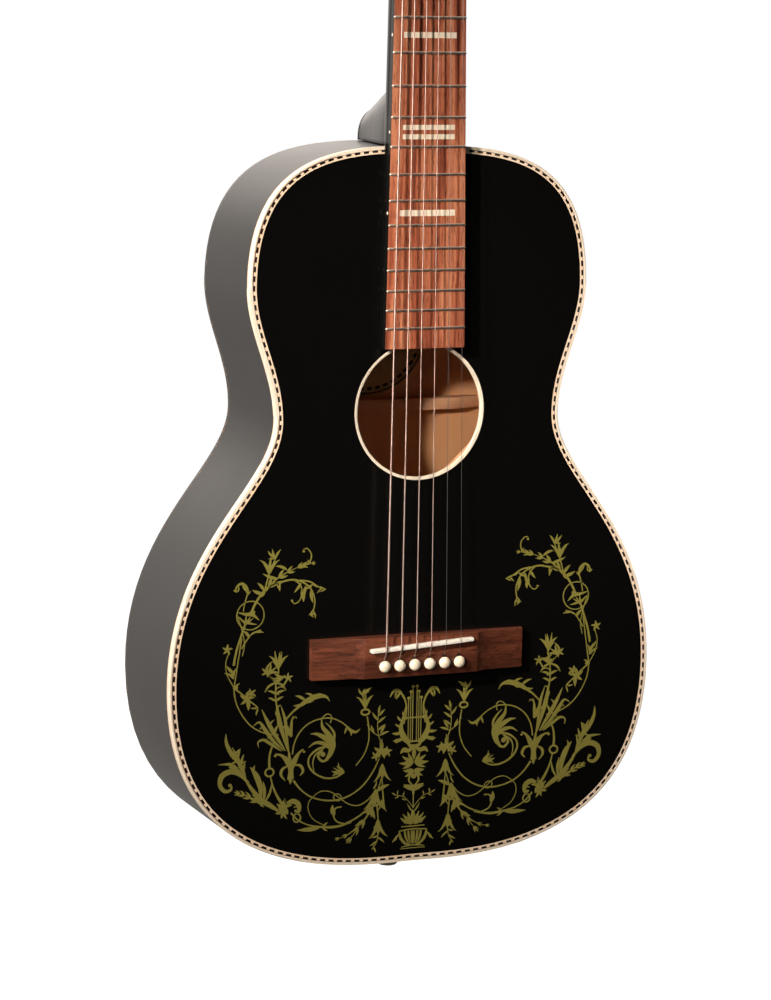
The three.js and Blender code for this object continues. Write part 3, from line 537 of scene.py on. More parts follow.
HALF = [
    ((0, TAIL_Z), (34.5, TAIL_Z), (169.7, -489.5), (169.7, -355.4)),
    ((169.7, -355.4), (169.7, -259.1), (96.9, -225.0), (96.9, -179.6)),
    ((96.9, -179.6), (96.9, -146.3), (116.0, -120.9), (116.0, -91.7)),
    ((116.0, -91.7), (116.0, -8.3), (59.3, NECK_Z), (0, NECK_Z)),
]


def half_outline(offset, steps=40):
    """Treble half of the body's outline from tail to neck, moved outwards."""
    points = []
    for k, handles in enumerate(HALF):
        corners = [Vector(p) for p in handles]
        for i in range(steps + (k == 3)):
            p, t = bezier(*corners, i / steps)
            t.normalize()
            points.append((p.x + t.y * offset, p.y - t.x * offset))
    return points


def outline(offset, steps=40):
    half = half_outline(offset, steps)
    return half + [(-x, z) for x, z in reversed(half[1:-1])]


def rim_depth(z):
    u = (z - TAIL_Z) / (NECK_Z - TAIL_Z)
    return 90 - 6 * u + 40 * u * (1 - u)


def band(bm, outer, inner, front, back, sign=0):
    """A strip that follows the outline between two offsets and two depths; sign picks one half."""
    if sign:
        clear = 0.05
        outlines = [[(sign * max(x, clear), z) for x, z in half_outline(o)] for o in (outer, inner)]
    else:
        outlines = [outline(outer), outline(inner)]
    old = set(bm.faces)
    paths = [[(x, front(z), z) for x, z in points] for points in outlines]
    edges = [edge for path in paths for edge in loop_edges(bm, path, not sign)]
    bmesh.ops.bridge_loops(bm, edges=edges)
    thicken(bm, [f for f in bm.faces if f not in old], lambda co: Vector((0, back(co.z) - front(co.z), 0)))


def circle(radius, steps, x=0.0, z=0.0):
    turns = [2 * math.pi * i / steps for i in range(steps)]
    return [(x + radius * math.cos(t), z + radius * math.sin(t)) for t in turns]


def smooth_path(points, steps=6):
    """A curve through a few given points (Catmull-Rom), as plain tuples of any length."""
    padded = [points[0], *points, points[-1]]
    made = []
    for a, b, c, d in zip(padded, padded[1:], padded[2:], padded[3:]):
        for i in range(steps):
            t = i / steps
            made.append(tuple(0.5 * (2 * q + (r - p) * t + (2 * p - 5 * q + 4 * r - s) * t * t
                                     + (3 * q - p - 3 * r + s) * t ** 3) for p, q, r, s in zip(a, b, c, d)))
    return made + [tuple(points[-1])]


def wire(paths, radius, resolution=3):
    """A bmesh of round wires along paths of (x, y, z, share) points; the share is of the radius."""
    curve = bpy.data.curves.new("wire", "CURVE")
    curve.dimensions = "3D"
    curve.bevel_depth = radius
    curve.bevel_resolution = resolution
    curve.use_fill_caps = True
    for path in paths:
        spline = curve.splines.new("POLY")
        spline.points.add(len(path) - 1)
        for point, (x, y, z, share) in zip(spline.points, path):
            point.co = (x, y, z, 1)
            point.radius = share
    holder = bpy.data.objects.new("wire", curve)
    mesh = bpy.data.meshes.new_from_object(holder)
    bm = bmesh.new()
    bm.from_mesh(mesh)
    bpy.data.objects.remove(holder)
    bpy.data.curves.remove(curve)
    bpy.data.meshes.remove(mesh)
    return bm


def carve(bm, tool):
    """Cuts one closed shape out of another, and returns what is left."""
    holders = []
    for shape in (bm, tool):
        mesh = bpy.data.meshes.new("carving")
        bmesh.ops.remove_doubles(shape, verts=shape.verts, dist=0.001)
        bmesh.ops.recalc_face_normals(shape, faces=shape.faces)
        shape.to_mesh(mesh)
        shape.free()
        holders.append(bpy.data.objects.new("carving", mesh))
        bpy.context.scene.collection.objects.link(holders[-1])
    cut = holders[0].modifiers.new("cut", "BOOLEAN")
    cut.operation = "DIFFERENCE"
    cut.object = holders[1]
    return baked(holders)


def baked(holders):
    """The first holder's mesh with its modifiers applied, as a bmesh; all the holders are removed."""
    bpy.context.view_layer.update()
    graph = bpy.context.evaluated_depsgraph_get()
    mesh = bpy.data.meshes.new_from_object(holders[0].evaluated_get(graph))
    made = bmesh.new()
    made.from_mesh(mesh)
    bpy.data.meshes.remove(mesh)
    for holder in holders:
        data = holder.data
        bpy.data.objects.remove(holder)
        bpy.data.meshes.remove(data)
    return made


FRONTWARDS = Matrix.Rotation(math.pi / 2, 4, "X")
BACKWARDS = Matrix.Rotation(-math.pi / 2, 4, "X")
SIDEWAYS = Matrix(((0, 0, 1, 0), (1, 0, 0, 0), (0, 1, 0, 0), (0, 0, 0, 1)))


def board_half(z):
    return 22.25 + 0.0138 * (NUT_Z - z)


def board_face(x, z):
    """Depth of the fingerboard's cambered face."""
    return -8.3 + 0.7 * (x / board_half(z)) ** 2


def fret_z(n):
    return SCALE * 2 ** (-n / 12) - SCALE / 2


def pin_x(i):
    return PIN_SPREAD * (0.5 - (i - 1) / 5)


def nut_x(i):
    return NUT_SPREAD * (0.5 - (i - 1) / 5)


def post_side(i):
    return 1 if i <= 3 else -1


def post_at(i, depth):
    """Place on the axis of string post i, in the headstock's frame."""
    return Matrix.Translation((post_side(i) * POST_X, depth, POST_HEIGHTS[i - 1]))


def away_from_middle(face):
    """True where a face of the sides looks out of the body."""
    middle = face.calc_center_median()
    return face.normal.x * middle.x + face.normal.z * (middle.z + 245) > 0


class GUITAR_OT_top(bpy.types.Operator):
    """Soundboard with its round soundhole"""
    bl_idname = "guitar.add_top"
    bl_label = "Soundboard"
    bl_options = {"REGISTER", "UNDO"}

    def execute(self, context):
        bm = bmesh.new()
        edges = loop_edges(bm, [(x, 0, z) for x, z in circle(46.6, 96, 0, HOLE_Z)])
        edges += loop_edges(bm, [(x, 0, z) for x, z in outline(0.02)])
        bmesh.ops.triangle_fill(bm, use_beauty=True, edges=edges)
        thicken(bm, bm.faces[:], (0, 2.95, 0))
        finish_piece("lacquered_top", bm, [black_lacquer(), pale_top_wood()],
                     ["soundboard"], paint=lambda f: int(f.normal.y > 0.5))
        return {"FINISHED"}


class GUITAR_OT_hole_ring(bpy.types.Operator):
    """Ivory ring that binds the soundhole's edge"""
    bl_idname = "guitar.add_hole_ring"
    bl_label = "Soundhole ring"
    bl_options = {"REGISTER", "UNDO"}

    def execute(self, context):
        bm = bmesh.new()
        profile = [(44.6, -2.95), (46.6, -2.95), (46.6, 0.03), (44.95, 0.03), (44.7, -0.07), (44.6, -0.35)]
        place = Matrix.Translation((0, 0, HOLE_Z)) @ FRONTWARDS
        spun(bm, profile, place, 96, closed=True)
        finish_piece("hole_binding", bm, [ivory_plastic()], ["soundhole_ring"])
        return {"FINISHED"}


class GUITAR_OT_back(bpy.types.Operator):
    """Arched back"""
    bl_idname = "guitar.add_back"
    bl_label = "Back"
    bl_options = {"REGISTER", "UNDO"}

    def execute(self, context):
        bm = bmesh.new()
        rings = []
        for share in (1, 0.93, 0.82, 0.68, 0.52, 0.36, 0.18):
            points = [(share * x, share * (z + 270) - 270) for x, z in outline(EDGE + 0.05, 24)]
            rings.append(loop_edges(bm, [(x, rim_depth(z) + 3.5 * (1 - share ** 2), z) for x, z in points]))
        for near, far in zip(rings, rings[1:]):
            bmesh.ops.bridge_loops(bm, edges=near + far)
        bmesh.ops.contextual_create(bm, geom=rings[-1])
        thicken(bm, bm.faces[:], (0, -2.6, 0))
        finish_piece("arched_back", bm, [black_lacquer(), pale_back_wood()], ["back"],
                     paint=lambda f: int(f.normal.y < -0.5))
        return {"FINISHED"}


class GUITAR_OT_sides(bpy.types.Operator):
    """The two bent sides"""
    bl_idname = "guitar.add_sides"
    bl_label = "Sides"
    bl_options = {"REGISTER", "UNDO"}

    def execute(self, context):
        satin = black_lacquer("satin_black_side_lacquer", 0.34)
        for name, sign in (("bass", -1), ("treble", 1)):
            bm = bmesh.new()
            band(bm, EDGE, EDGE - 2.2, lambda z: 5.9, lambda z: rim_depth(z) - 2.6, sign)
            finish_piece(f"bent_side_{name}", bm, [satin, pale_back_wood()],
                         [f"side_{name}"], paint=lambda f: int(not away_from_middle(f)))
        return {"FINISHED"}


class GUITAR_OT_bindings(bpy.types.Operator):
    """Ivory binding round the top"""
    bl_idname = "guitar.add_bindings"
    bl_label = "Binding"
    bl_options = {"REGISTER", "UNDO"}

    def execute(self, context):
        bm = bmesh.new()
        band(bm, EDGE + 0.03, ROPE_OUT + 0.02, lambda z: -0.05, lambda z: 6.0)
        soften(bm, 0.55, 3, 50)
        finish_piece("edge_binding", bm, [ivory_plastic()], ["top_binding"], angle=60)
        return {"FINISHED"}


class GUITAR_OT_rope(bpy.types.Operator):
    """Rope inlay: a cream strip with black dashes and a thin dark line against the binding"""
    bl_idname = "guitar.add_rope"
    bl_label = "Rope inlay"
    bl_options = {"REGISTER", "UNDO"}

    def execute(self, context):
        cream = soft_wood("holly_inlay_strip", "#F6DFC4", "#EBCDAA")
        brown = soft_wood("dyed_brown_veneer", "#7A4A30", "#5A3322")
        bm = bmesh.new()
        band(bm, 2.3, 0.0, lambda z: -0.02, lambda z: 2.0)
        finish_piece("rope_cream_strip", bm, [cream], ["top_purfling"])
        bm = bmesh.new()
        band(bm, ROPE_OUT, 2.3, lambda z: -0.02, lambda z: 2.0)
        finish_piece("rope_outer_line", bm, [brown])
        self.dashes(context.scene.guitar_sizes.rope_dashes)
        return {"FINISHED"}

    def dashes(self, count):
        near, middle, far = (outline(o) for o in (2.42, 1.7, 1.0))
        lengths = [0.0]
        for a, b in zip(middle, middle[1:] + middle[:1]):
            lengths.append(lengths[-1] + math.dist(a, b))

        def at(points, run):
            k = next(i for i, total in enumerate(lengths[1:]) if total >= run)
            part = (run - lengths[k]) / (lengths[k + 1] - lengths[k])
            return Vector(points[k]).lerp(Vector(points[(k + 1) % len(points)]), part)

        bm = bmesh.new()
        pitch = lengths[-1] / count
        for i in range(count):
            runs = [(i + share) * pitch for share in (0.2, 0.5, 0.8)]
            plate(bm, [at(near, r) for r in runs] + [at(far, r) for r in reversed(runs)], -0.05, 0.6)
        black = black_lacquer("dyed_black_veneer", 0.4)
        finish_piece("rope_black_dashes", bm, [black])


class GUITAR_OT_bridge(bpy.types.Operator):
    """Pin bridge: a raised middle, lower ends, a slanted slot and six slotted pin holes"""
    bl_idname = "guitar.add_bridge"
    bl_label = "Bridge"
    bl_options = {"REGISTER", "UNDO"}

    def execute(self, context):
        bm = bmesh.new()
        right = [(76.7, -0.1), (76.7, -4.3), (75, -4.8), (48, -6.5), (41.6, -9.9), (40.6, -10.3)]
        points = right + [(-x, y) for x, y in reversed(right)]
        bm.faces.new([bm.verts.new((x, y, -353.2)) for x, y in points])
        thicken(bm, bm.faces[:], (0, 0, 27.6))
        soften(bm, 0.6, 3, 50)
        tool = bmesh.new()
        plate(tool, [(-37.7, -1.6), (37.7, -1.6), (37.7, 1.6), (-37.7, 1.6)], -14, -6)
        bmesh.ops.transform(tool, matrix=SADDLE_AT, verts=tool.verts)
        for i in range(1, 7):
            x = pin_x(i)
            hole = [p for p in circle(2.85, 24, x, PIN_Z) if abs(p[0] - x) > 0.95 or p[1] < PIN_Z]
            start = next(k for k, p in enumerate(hole) if p[0] < x and p[1] > PIN_Z)
            slot = [(x + 0.95, STRING_SLOT_Z + 0.9), (x - 0.95, STRING_SLOT_Z + 0.9)]
            plate(tool, hole[:start] + slot + hole[start:], -14, 2)
        finish_piece("pin_bridge", carve(bm, tool), [bridge_rosewood()], ["bridge"])
        return {"FINISHED"}


class GUITAR_OT_saddle(bpy.types.Operator):
    """Slanted bone saddle with rounded ends and a rounded crown"""
    bl_idname = "guitar.add_saddle"
    bl_label = "Saddle"
    bl_options = {"REGISTER", "UNDO"}

    def execute(self, context):
        bm = bmesh.new()
        turns = [math.radians(a) for a in (-90, -60, -30, 0, 30, 60, 90)]
        right = [(36 + 1.5 * math.cos(t), 1.5 * math.sin(t)) for t in turns]
        plate(bm, right + [(-x, -z) for x, z in right], SADDLE_CROWN, -6.4, 0.7, 4)
        bmesh.ops.subdivide_edges(bm, edges=[e for e in bm.edges if e.calc_length() > 30], cuts=8)
        for vert in bm.verts:
            vert.co.y += 0.2 * (vert.co.x / 27) ** 2 * (1 if vert.co.y < -10 else 0)
        finish_piece("bone_saddle", bm, [bone()], ["saddle"], place=BODY_AT @ SADDLE_AT)
        return {"FINISHED"}


class GUITAR_OT_pins(bpy.types.Operator):
    """Six plain bridge pins with rounded heads"""
    bl_idname = "guitar.add_pins"
    bl_label = "Bridge pins"
    bl_options = {"REGISTER", "UNDO"}

    def execute(self, context):
        ivory = polished_ivory()
        head = smooth_path([(2.9, 0), (3.6, 0.25), (3.95, 1.3), (3.7, 2.6), (2.8, 3.6), (1.4, 4.2)], 3)
        profile = [(0, -25.9), (1.3, -25.9), (1.9, -25.4), (2.1, -24), (2.6, -1), (2.6, 0), *head, (0, 4.35)]
        for i in range(1, 7):
            bm = bmesh.new()
            place = Matrix.Translation((pin_x(i), BRIDGE_FRONT - 0.15, PIN_Z)) @ FRONTWARDS
            spun(bm, profile, place)
            name = f"bridge_pin_{i}"
            finish_piece(f"ivory_pin_{i}", bm, [ivory], [name], name)
        return {"FINISHED"}


class GUITAR_OT_strings(bpy.types.Operator):
    """Six strings from their ball ends over saddle and nut to the posts, and the turns round each post"""
    bl_idname = "guitar.add_strings"
    bl_label = "Strings"
    bl_options = {"REGISTER", "UNDO"}

    def execute(self, context):
        for i in range(1, 7):
            radius = STRING_RADII[i - 1]
            x = pin_x(i)
            saddle_z = SADDLE_Z + SADDLE_SLANT * x
            crown = SADDLE_CROWN + 0.2 * abs(2 * x / PIN_SPREAD) - radius - 0.03
            side = post_side(i)
            wrap = 3.02 + radius
            height = POST_HEIGHTS[i - 1]
            end = HEAD_IN_LAYOUT @ Vector((side * (POST_X - wrap), -HEADPLATE - 8.4, height - 0.8))
            near = HEAD_IN_LAYOUT @ Vector((side * (POST_X - wrap - 0.05), -HEADPLATE - 8.35, height - 4))
            down = STRING_SLOT_Z
            path = [(x, 8.4, down), (x, -9.2, down), (x, -10.4, down + 0.05), (x, -11.0, down + 0.5),
                    (x, crown + 1.5, saddle_z - 3.6), (x, crown + 0.35, saddle_z - 1.2),
                    (x, crown, saddle_z - 0.2), (x, crown, saddle_z + 0.8), (nut_x(i), -9.9, NUT_Z),
                    (nut_x(i), -9.85, NUT_Z + 0.7), tuple(near), tuple(end)]
            bm = wire([[(*p, 1.0) for p in path]], radius, 3)
            ball = Matrix.Translation((x, 8.4, down + 0.2)) @ SIDEWAYS
            reel = [(0, -1.7), (1.5, -1.7), (1.9, -1.2), (1.3, 0), (1.9, 1.2), (1.5, 1.7), (0, 1.7)]
            spun(bm, reel, ball, 16)
            material = plain_steel() if i <= 2 else wound_bronze()
            slot = "steel" if i <= 2 else "bronze"
            finish_piece(f"tuned_string_{i}", bm, [material], [f"string_{i}"])
            self.turns(i, radius, side, wrap, height, material, slot)
        return {"FINISHED"}

    def turns(self, i, radius, side, wrap, height, material, slot):
        count = 3.2 if i > 3 else 4.3
        pitch = 2 * radius + 0.06
        path = []
        for k in range(int(count * 24) + 1):
            turn = -0.35 + 2 * math.pi * k / 24
            depth = -HEADPLATE - 8.4 + pitch * (turn / (2 * math.pi))
            path.append((side * (POST_X - wrap * math.cos(turn)), depth, height + wrap * math.sin(turn), 1.0))
        bm = wire([path], radius, 2)
        finish_piece(f"string_turns_{i}", bm, [material], (), f"tuner_post_{i}", HEAD_AT)


class GUITAR_OT_board(bpy.types.Operator):
    """Cambered rosewood fingerboard with blackened edges, and the tongue of the neck under its end"""
    bl_idname = "guitar.add_board"
    bl_label = "Fingerboard"
    bl_options = {"REGISTER", "UNDO"}

    def execute(self, context):
        bm = bmesh.new()
        sections = []
        for z in (BOARD_END_Z, NUT_Z - 0.15):
            half = board_half(z)
            across = [half * k / 5 for k in range(-5, 6)]
            face = [(x, board_face(x, z), z) for x in across]
            sections.append([(-half, -2.05, z), *face, (half, -2.05, z)])
        section_skin(bm, sections)
        soften(bm, 0.35, 2, 50)
        black = black_lacquer("ebonised_edge", 0.34)
        finish_piece("cambered_board", bm, [neck_rosewood(), black], ["fingerboard"],
                     paint=lambda f: int(abs(f.normal.x) > 0.6), angle=20)
        bm = bmesh.new()
        low = board_half(-134) + 1.3
        high = board_half(0) + 1.3
        right = [(low - 4, -134), (low - 2, -133.5), (low - 0.5, -132), (low, -130), (high, 2)]
        plate(bm, right + [(-x, z) for x, z in reversed(right)], -2.05, -0.1, 0.4, 2)
        finish_piece("neck_tongue", bm, [black_lacquer()])
        return {"FINISHED"}


class GUITAR_OT_frets(bpy.types.Operator):
    """Twenty frets of crowned wire that follow the camber"""
    bl_idname = "guitar.add_frets"
    bl_label = "Frets"
    bl_options = {"REGISTER", "UNDO"}

    def execute(self, context):
        paths = []
        for n in range(1, 21):
            z = fret_z(n)
            half = board_half(z) + 0.25
            ends = [-half, -half + 0.5, -half + 1.2]
            xs = ends + [half * k / 4 for k in range(-3, 4)] + [-e for e in reversed(ends)]
            shares = [0.35, 0.75, 1] + [1] * 7 + [1, 0.75, 0.35]
            paths.append([(x, board_face(x, z) + 0.1, z, s) for x, s in zip(xs, shares)])
        bm = wire(paths, context.scene.guitar_sizes.fret_width / MM / 2, 4)
        finish_piece("crowned_frets", bm, [fret_wire()], angle=60)
        return {"FINISHED"}


class GUITAR_OT_marks(bpy.types.Operator):
    """Bar marks in the fingerboard's face and dots in its bass edge"""
    bl_idname = "guitar.add_marks"
    bl_label = "Position marks"
    bl_options = {"REGISTER", "UNDO"}

    def execute(self, context):
        bars = [((fret_z(n) + fret_z(n - 1)) / 2, 18.6, 3.8) for n in (3, 5, 7, 9)]
        middle = (fret_z(11) + fret_z(12)) / 2
        bars += [(middle + 3.05, 18.5, 3.3), (middle - 3.05, 18.5, 3.3)]
        bars += [((fret_z(14) + fret_z(15)) / 2, 19.7, 4)]
        bm = bmesh.new()
        for z, half, tall in bars:
            sections = []
            for k in range(-5, 6):
                x = half * k / 5
                top = board_face(x, z) - 0.03
                sections.append([(x, top, z - tall / 2), (x, top, z + tall / 2), (x, top + 0.5, z + tall / 2),
                                 (x, top + 0.5, z - tall / 2)])
            section_skin(bm, sections)
        for n in (3, 5, 7, 9, 12, 15):
            z = (fret_z(n) + fret_z(n - 1)) / 2
            place = Matrix.Translation((-board_half(z) - 0.03, -5.2, z)) @ SIDEWAYS
            spun(bm, [(0, 0), (1.05, 0), (1.05, 0.6), (0, 0.6)], place, 20)
        finish_piece("ivory_marks", bm, [ivory_plastic()])
        return {"FINISHED"}


HEAD_HALF = [(22.6, 0), (23.4, 6), (26, 12), (29.2, 18), (30.6, 26), (34.2, 150), (33.4, 158),
             (28, 163), (14, 168), (5, 171.5)]
HEEL_SLICES = [(0, 26.4, 58), (6, 26, 55.6), (12, 25.5, 53), (20, 24.4, 48), (26, 23.4, 44.6),
               (32, 22.4, 41.5), (40, 20.9, 37.8), (50, 19.2, 34), (58, 17.9, 30.4), (66, 16.8, 27),
               (72, 16, 24.4), (78, 15.5, 22)]


def head_outline():
    """Headstock outline with the corners of its crown and shoulders drawn as smooth curves."""
    shoulder = smooth_path(HEAD_HALF[:5], 3)
    crown = smooth_path(HEAD_HALF[5:], 3)
    right = shoulder + crown
    return right + [(-x, z) for x, z in reversed(right)]


def heel_slice(y, half, height):
    turns = [math.pi * i / 28 for i in range(29)]
    arc = [(half * math.cos(t), y, 1.3 + (height - 0.5) * max(math.sin(t), 0) ** 0.8) for t in turns]
    return [(half, y, 0.8), *arc, (-half, y, 0.8)]


def shaft_section(z, depth):
    half = min(board_half(z), 26.8)
    turns = [math.pi * i / 28 for i in range(29)]
    arc = [(half * math.cos(t), 1 + (depth - 3) * max(math.sin(t), 0) ** 0.85, z) for t in turns]
    return [(half, -2, z), *arc, (-half, -2, z)]


class GUITAR_OT_neck(bpy.types.Operator):
    """Neck carved from one blank: heel, rounded shaft and tilted headstock"""
    bl_idname = "guitar.add_neck"
    bl_label = "Neck"
    bl_options = {"REGISTER", "UNDO"}

    def execute(self, context):
        shapes = []
        shaft = bmesh.new()
        stations = smooth_path([(0.8, 17.5), (60, 17), (180, 16), (300, 14.8), (322, 15.2), (333, 16.6)], 4)
        section_skin(shaft, [shaft_section(z, depth) for z, depth in stations])
        shapes.append(shaft)
        volute = bmesh.new()
        sections = []
        for z, depth in ((325, 15.6), (334, 17.2), (342, 17.4), (350, 16.4)):
            front = -2 + max(z - 328, 0) * 0.25 + 0.3
            sections.append([(x, max(y, front), z) for x, y, z in shaft_section(z, depth)])
        section_skin(volute, sections)
        shapes.append(volute)
        heel = bmesh.new()
        section_skin(heel, [heel_slice(*s) for s in HEEL_SLICES])
        shapes.append(heel)
        head = bmesh.new()
        plate(head, head_outline(), 0, 13.2, 0.8, 2)
        bmesh.ops.transform(head, matrix=HEAD_IN_LAYOUT, verts=head.verts)
        shapes.append(head)
        tool = bmesh.new()
        for i in range(1, 7):
            plate(tool, circle(4, 24, post_side(i) * POST_X, POST_HEIGHTS[i - 1]), -1, 15)
        plate(tool, [(-5.5, 0.6), (5.5, 0.6), (5.5, 25), (-5.5, 25)], -4, 8.8)
        bmesh.ops.transform(tool, matrix=HEAD_IN_LAYOUT, verts=tool.verts)
        blank = carve(self.joined(shapes), tool)
        finish_piece("carved_neck", blank, [black_lacquer()], ["neck"], angle=42)
        return {"FINISHED"}

    def joined(self, shapes):
        """Melts the overlapping solids into one carved surface."""
        whole = bmesh.new()
        for shape in shapes:
            bmesh.ops.recalc_face_normals(shape, faces=shape.faces)
            mesh = bpy.data.meshes.new("blank")
            shape.to_mesh(mesh)
            shape.free()
            whole.from_mesh(mesh)
            bpy.data.meshes.remove(mesh)
        mesh = bpy.data.meshes.new("blank")
        whole.to_mesh(mesh)
        whole.free()
        holder = bpy.data.objects.new("blank", mesh)
        bpy.context.scene.collection.objects.link(holder)
        remesh = holder.modifiers.new("melt", "REMESH")
        remesh.mode = "VOXEL"
        remesh.voxel_size = 1.15
        relax = holder.modifiers.new("relax", "SMOOTH")
        relax.factor = 0.5
        relax.iterations = 3
        return baked([holder])


class GUITAR_OT_heel_cap(bpy.types.Operator):
    """Black cap on the end of the heel"""
    bl_idname = "guitar.add_heel_cap"
    bl_label = "Heel cap"
    bl_options = {"REGISTER", "UNDO"}

    def execute(self, context):
        bm = bmesh.new()
        section_skin(bm, [heel_slice(78.1, 15.5, 22), heel_slice(80.6, 15.2, 21.7)])
        soften(bm, 0.5, 3, 50)
        finish_piece("black_heel_cap", bm, [black_lacquer()], ["heel_cap"])
        return {"FINISHED"}


class GUITAR_OT_nut(bpy.types.Operator):
    """Slotted bone nut with eased edges"""
    bl_idname = "guitar.add_nut"
    bl_label = "Nut"
    bl_options = {"REGISTER", "UNDO"}

    def execute(self, context):
        dress(bone(), "nut")
        ease_edges("nut", 0.18, 2, 50)
        return {"FINISHED"}


class GUITAR_OT_headplate(bpy.types.Operator):
    """Plain rosewood face on the headstock, with the truss rod's cover and its two screws"""
    bl_idname = "guitar.add_headplate"
    bl_label = "Headplate"
    bl_options = {"REGISTER", "UNDO"}

    def execute(self, context):
        bm = bmesh.new()
        plate(bm, head_outline(), -HEADPLATE - 0.1, -0.1, 0.4, 2)
        tool = bmesh.new()
        for i in range(1, 7):
            plate(tool, circle(4.2, 32, post_side(i) * POST_X, POST_HEIGHTS[i - 1]), -4, 1)
        plate(tool, [(-5.5, 0.6), (5.5, 0.6), (5.5, 25), (-5.5, 25)], -4, 1)
        finish_piece("head_face", carve(bm, tool), [head_rosewood()], ["headplate"],
                     place=HEAD_AT)
        bm = bmesh.new()
        right = smooth_path([(11, 2.5), (11.4, 10), (9, 20), (6.5, 27), (5.6, 32), (3, 35.5)], 3)
        plate(bm, right + [(-x, z) for x, z in reversed(right)], -HEADPLATE - 2.2, -HEADPLATE - 0.2, 0.5, 3)
        cover = black_lacquer("black_cover_plastic", 0.3)
        finish_piece("rod_cover", bm, [cover], ["truss_rod_cover"], place=HEAD_AT)
        bm, tool = bmesh.new(), bmesh.new()
        for z, radius in ((7, 1.7), (31, 1.5)):
            place = Matrix.Translation((0, -HEADPLATE - 2.1, z)) @ FRONTWARDS
            screw_head(bm, tool, place, radius)
        finish_piece("rod_cover_screws", carve(bm, tool), [nickel()], place=HEAD_AT)
        bm = bmesh.new()
        profile = rounded([(3.2, -1.5), (4.1, -1.5), (4.1, 0), (5.4, 0), (5.3, 0.7), (3.4, 1.0),
                           (3.2, 0.8)], 0.2)
        for i in range(1, 7):
            spun(bm, profile, post_at(i, -HEADPLATE - 0.1) @ FRONTWARDS, closed=True)
        finish_piece("post_ferrules", bm, [nickel()], place=HEAD_AT)
        return {"FINISHED"}


def screw_head(bm, tool, place, radius):
    """A domed screw head standing on z = 0, and the cross that is cut into it."""
    dome = [(0, -0.3), (radius, -0.3), (radius, 0.25), (radius * 0.82, 0.55), (radius * 0.5, 0.74), (0, 0.8)]
    spun(bm, dome, place, 24)
    old = set(tool.verts)
    far, near = 0.62 * radius, 0.15 * radius
    corner = [(far, near), (near, near), (near, far)]
    quarters = [[(x, z) for x, z in corner], [(-x, z) for x, z in reversed(corner)],
                [(-x, -z) for x, z in corner], [(x, -z) for x, z in reversed(corner)]]
    plate(tool, [point for quarter in quarters for point in quarter], -1.3, -0.3)
    fresh = [v for v in tool.verts if v not in old]
    bmesh.ops.transform(tool, matrix=place @ FRONTWARDS.inverted(), verts=fresh)


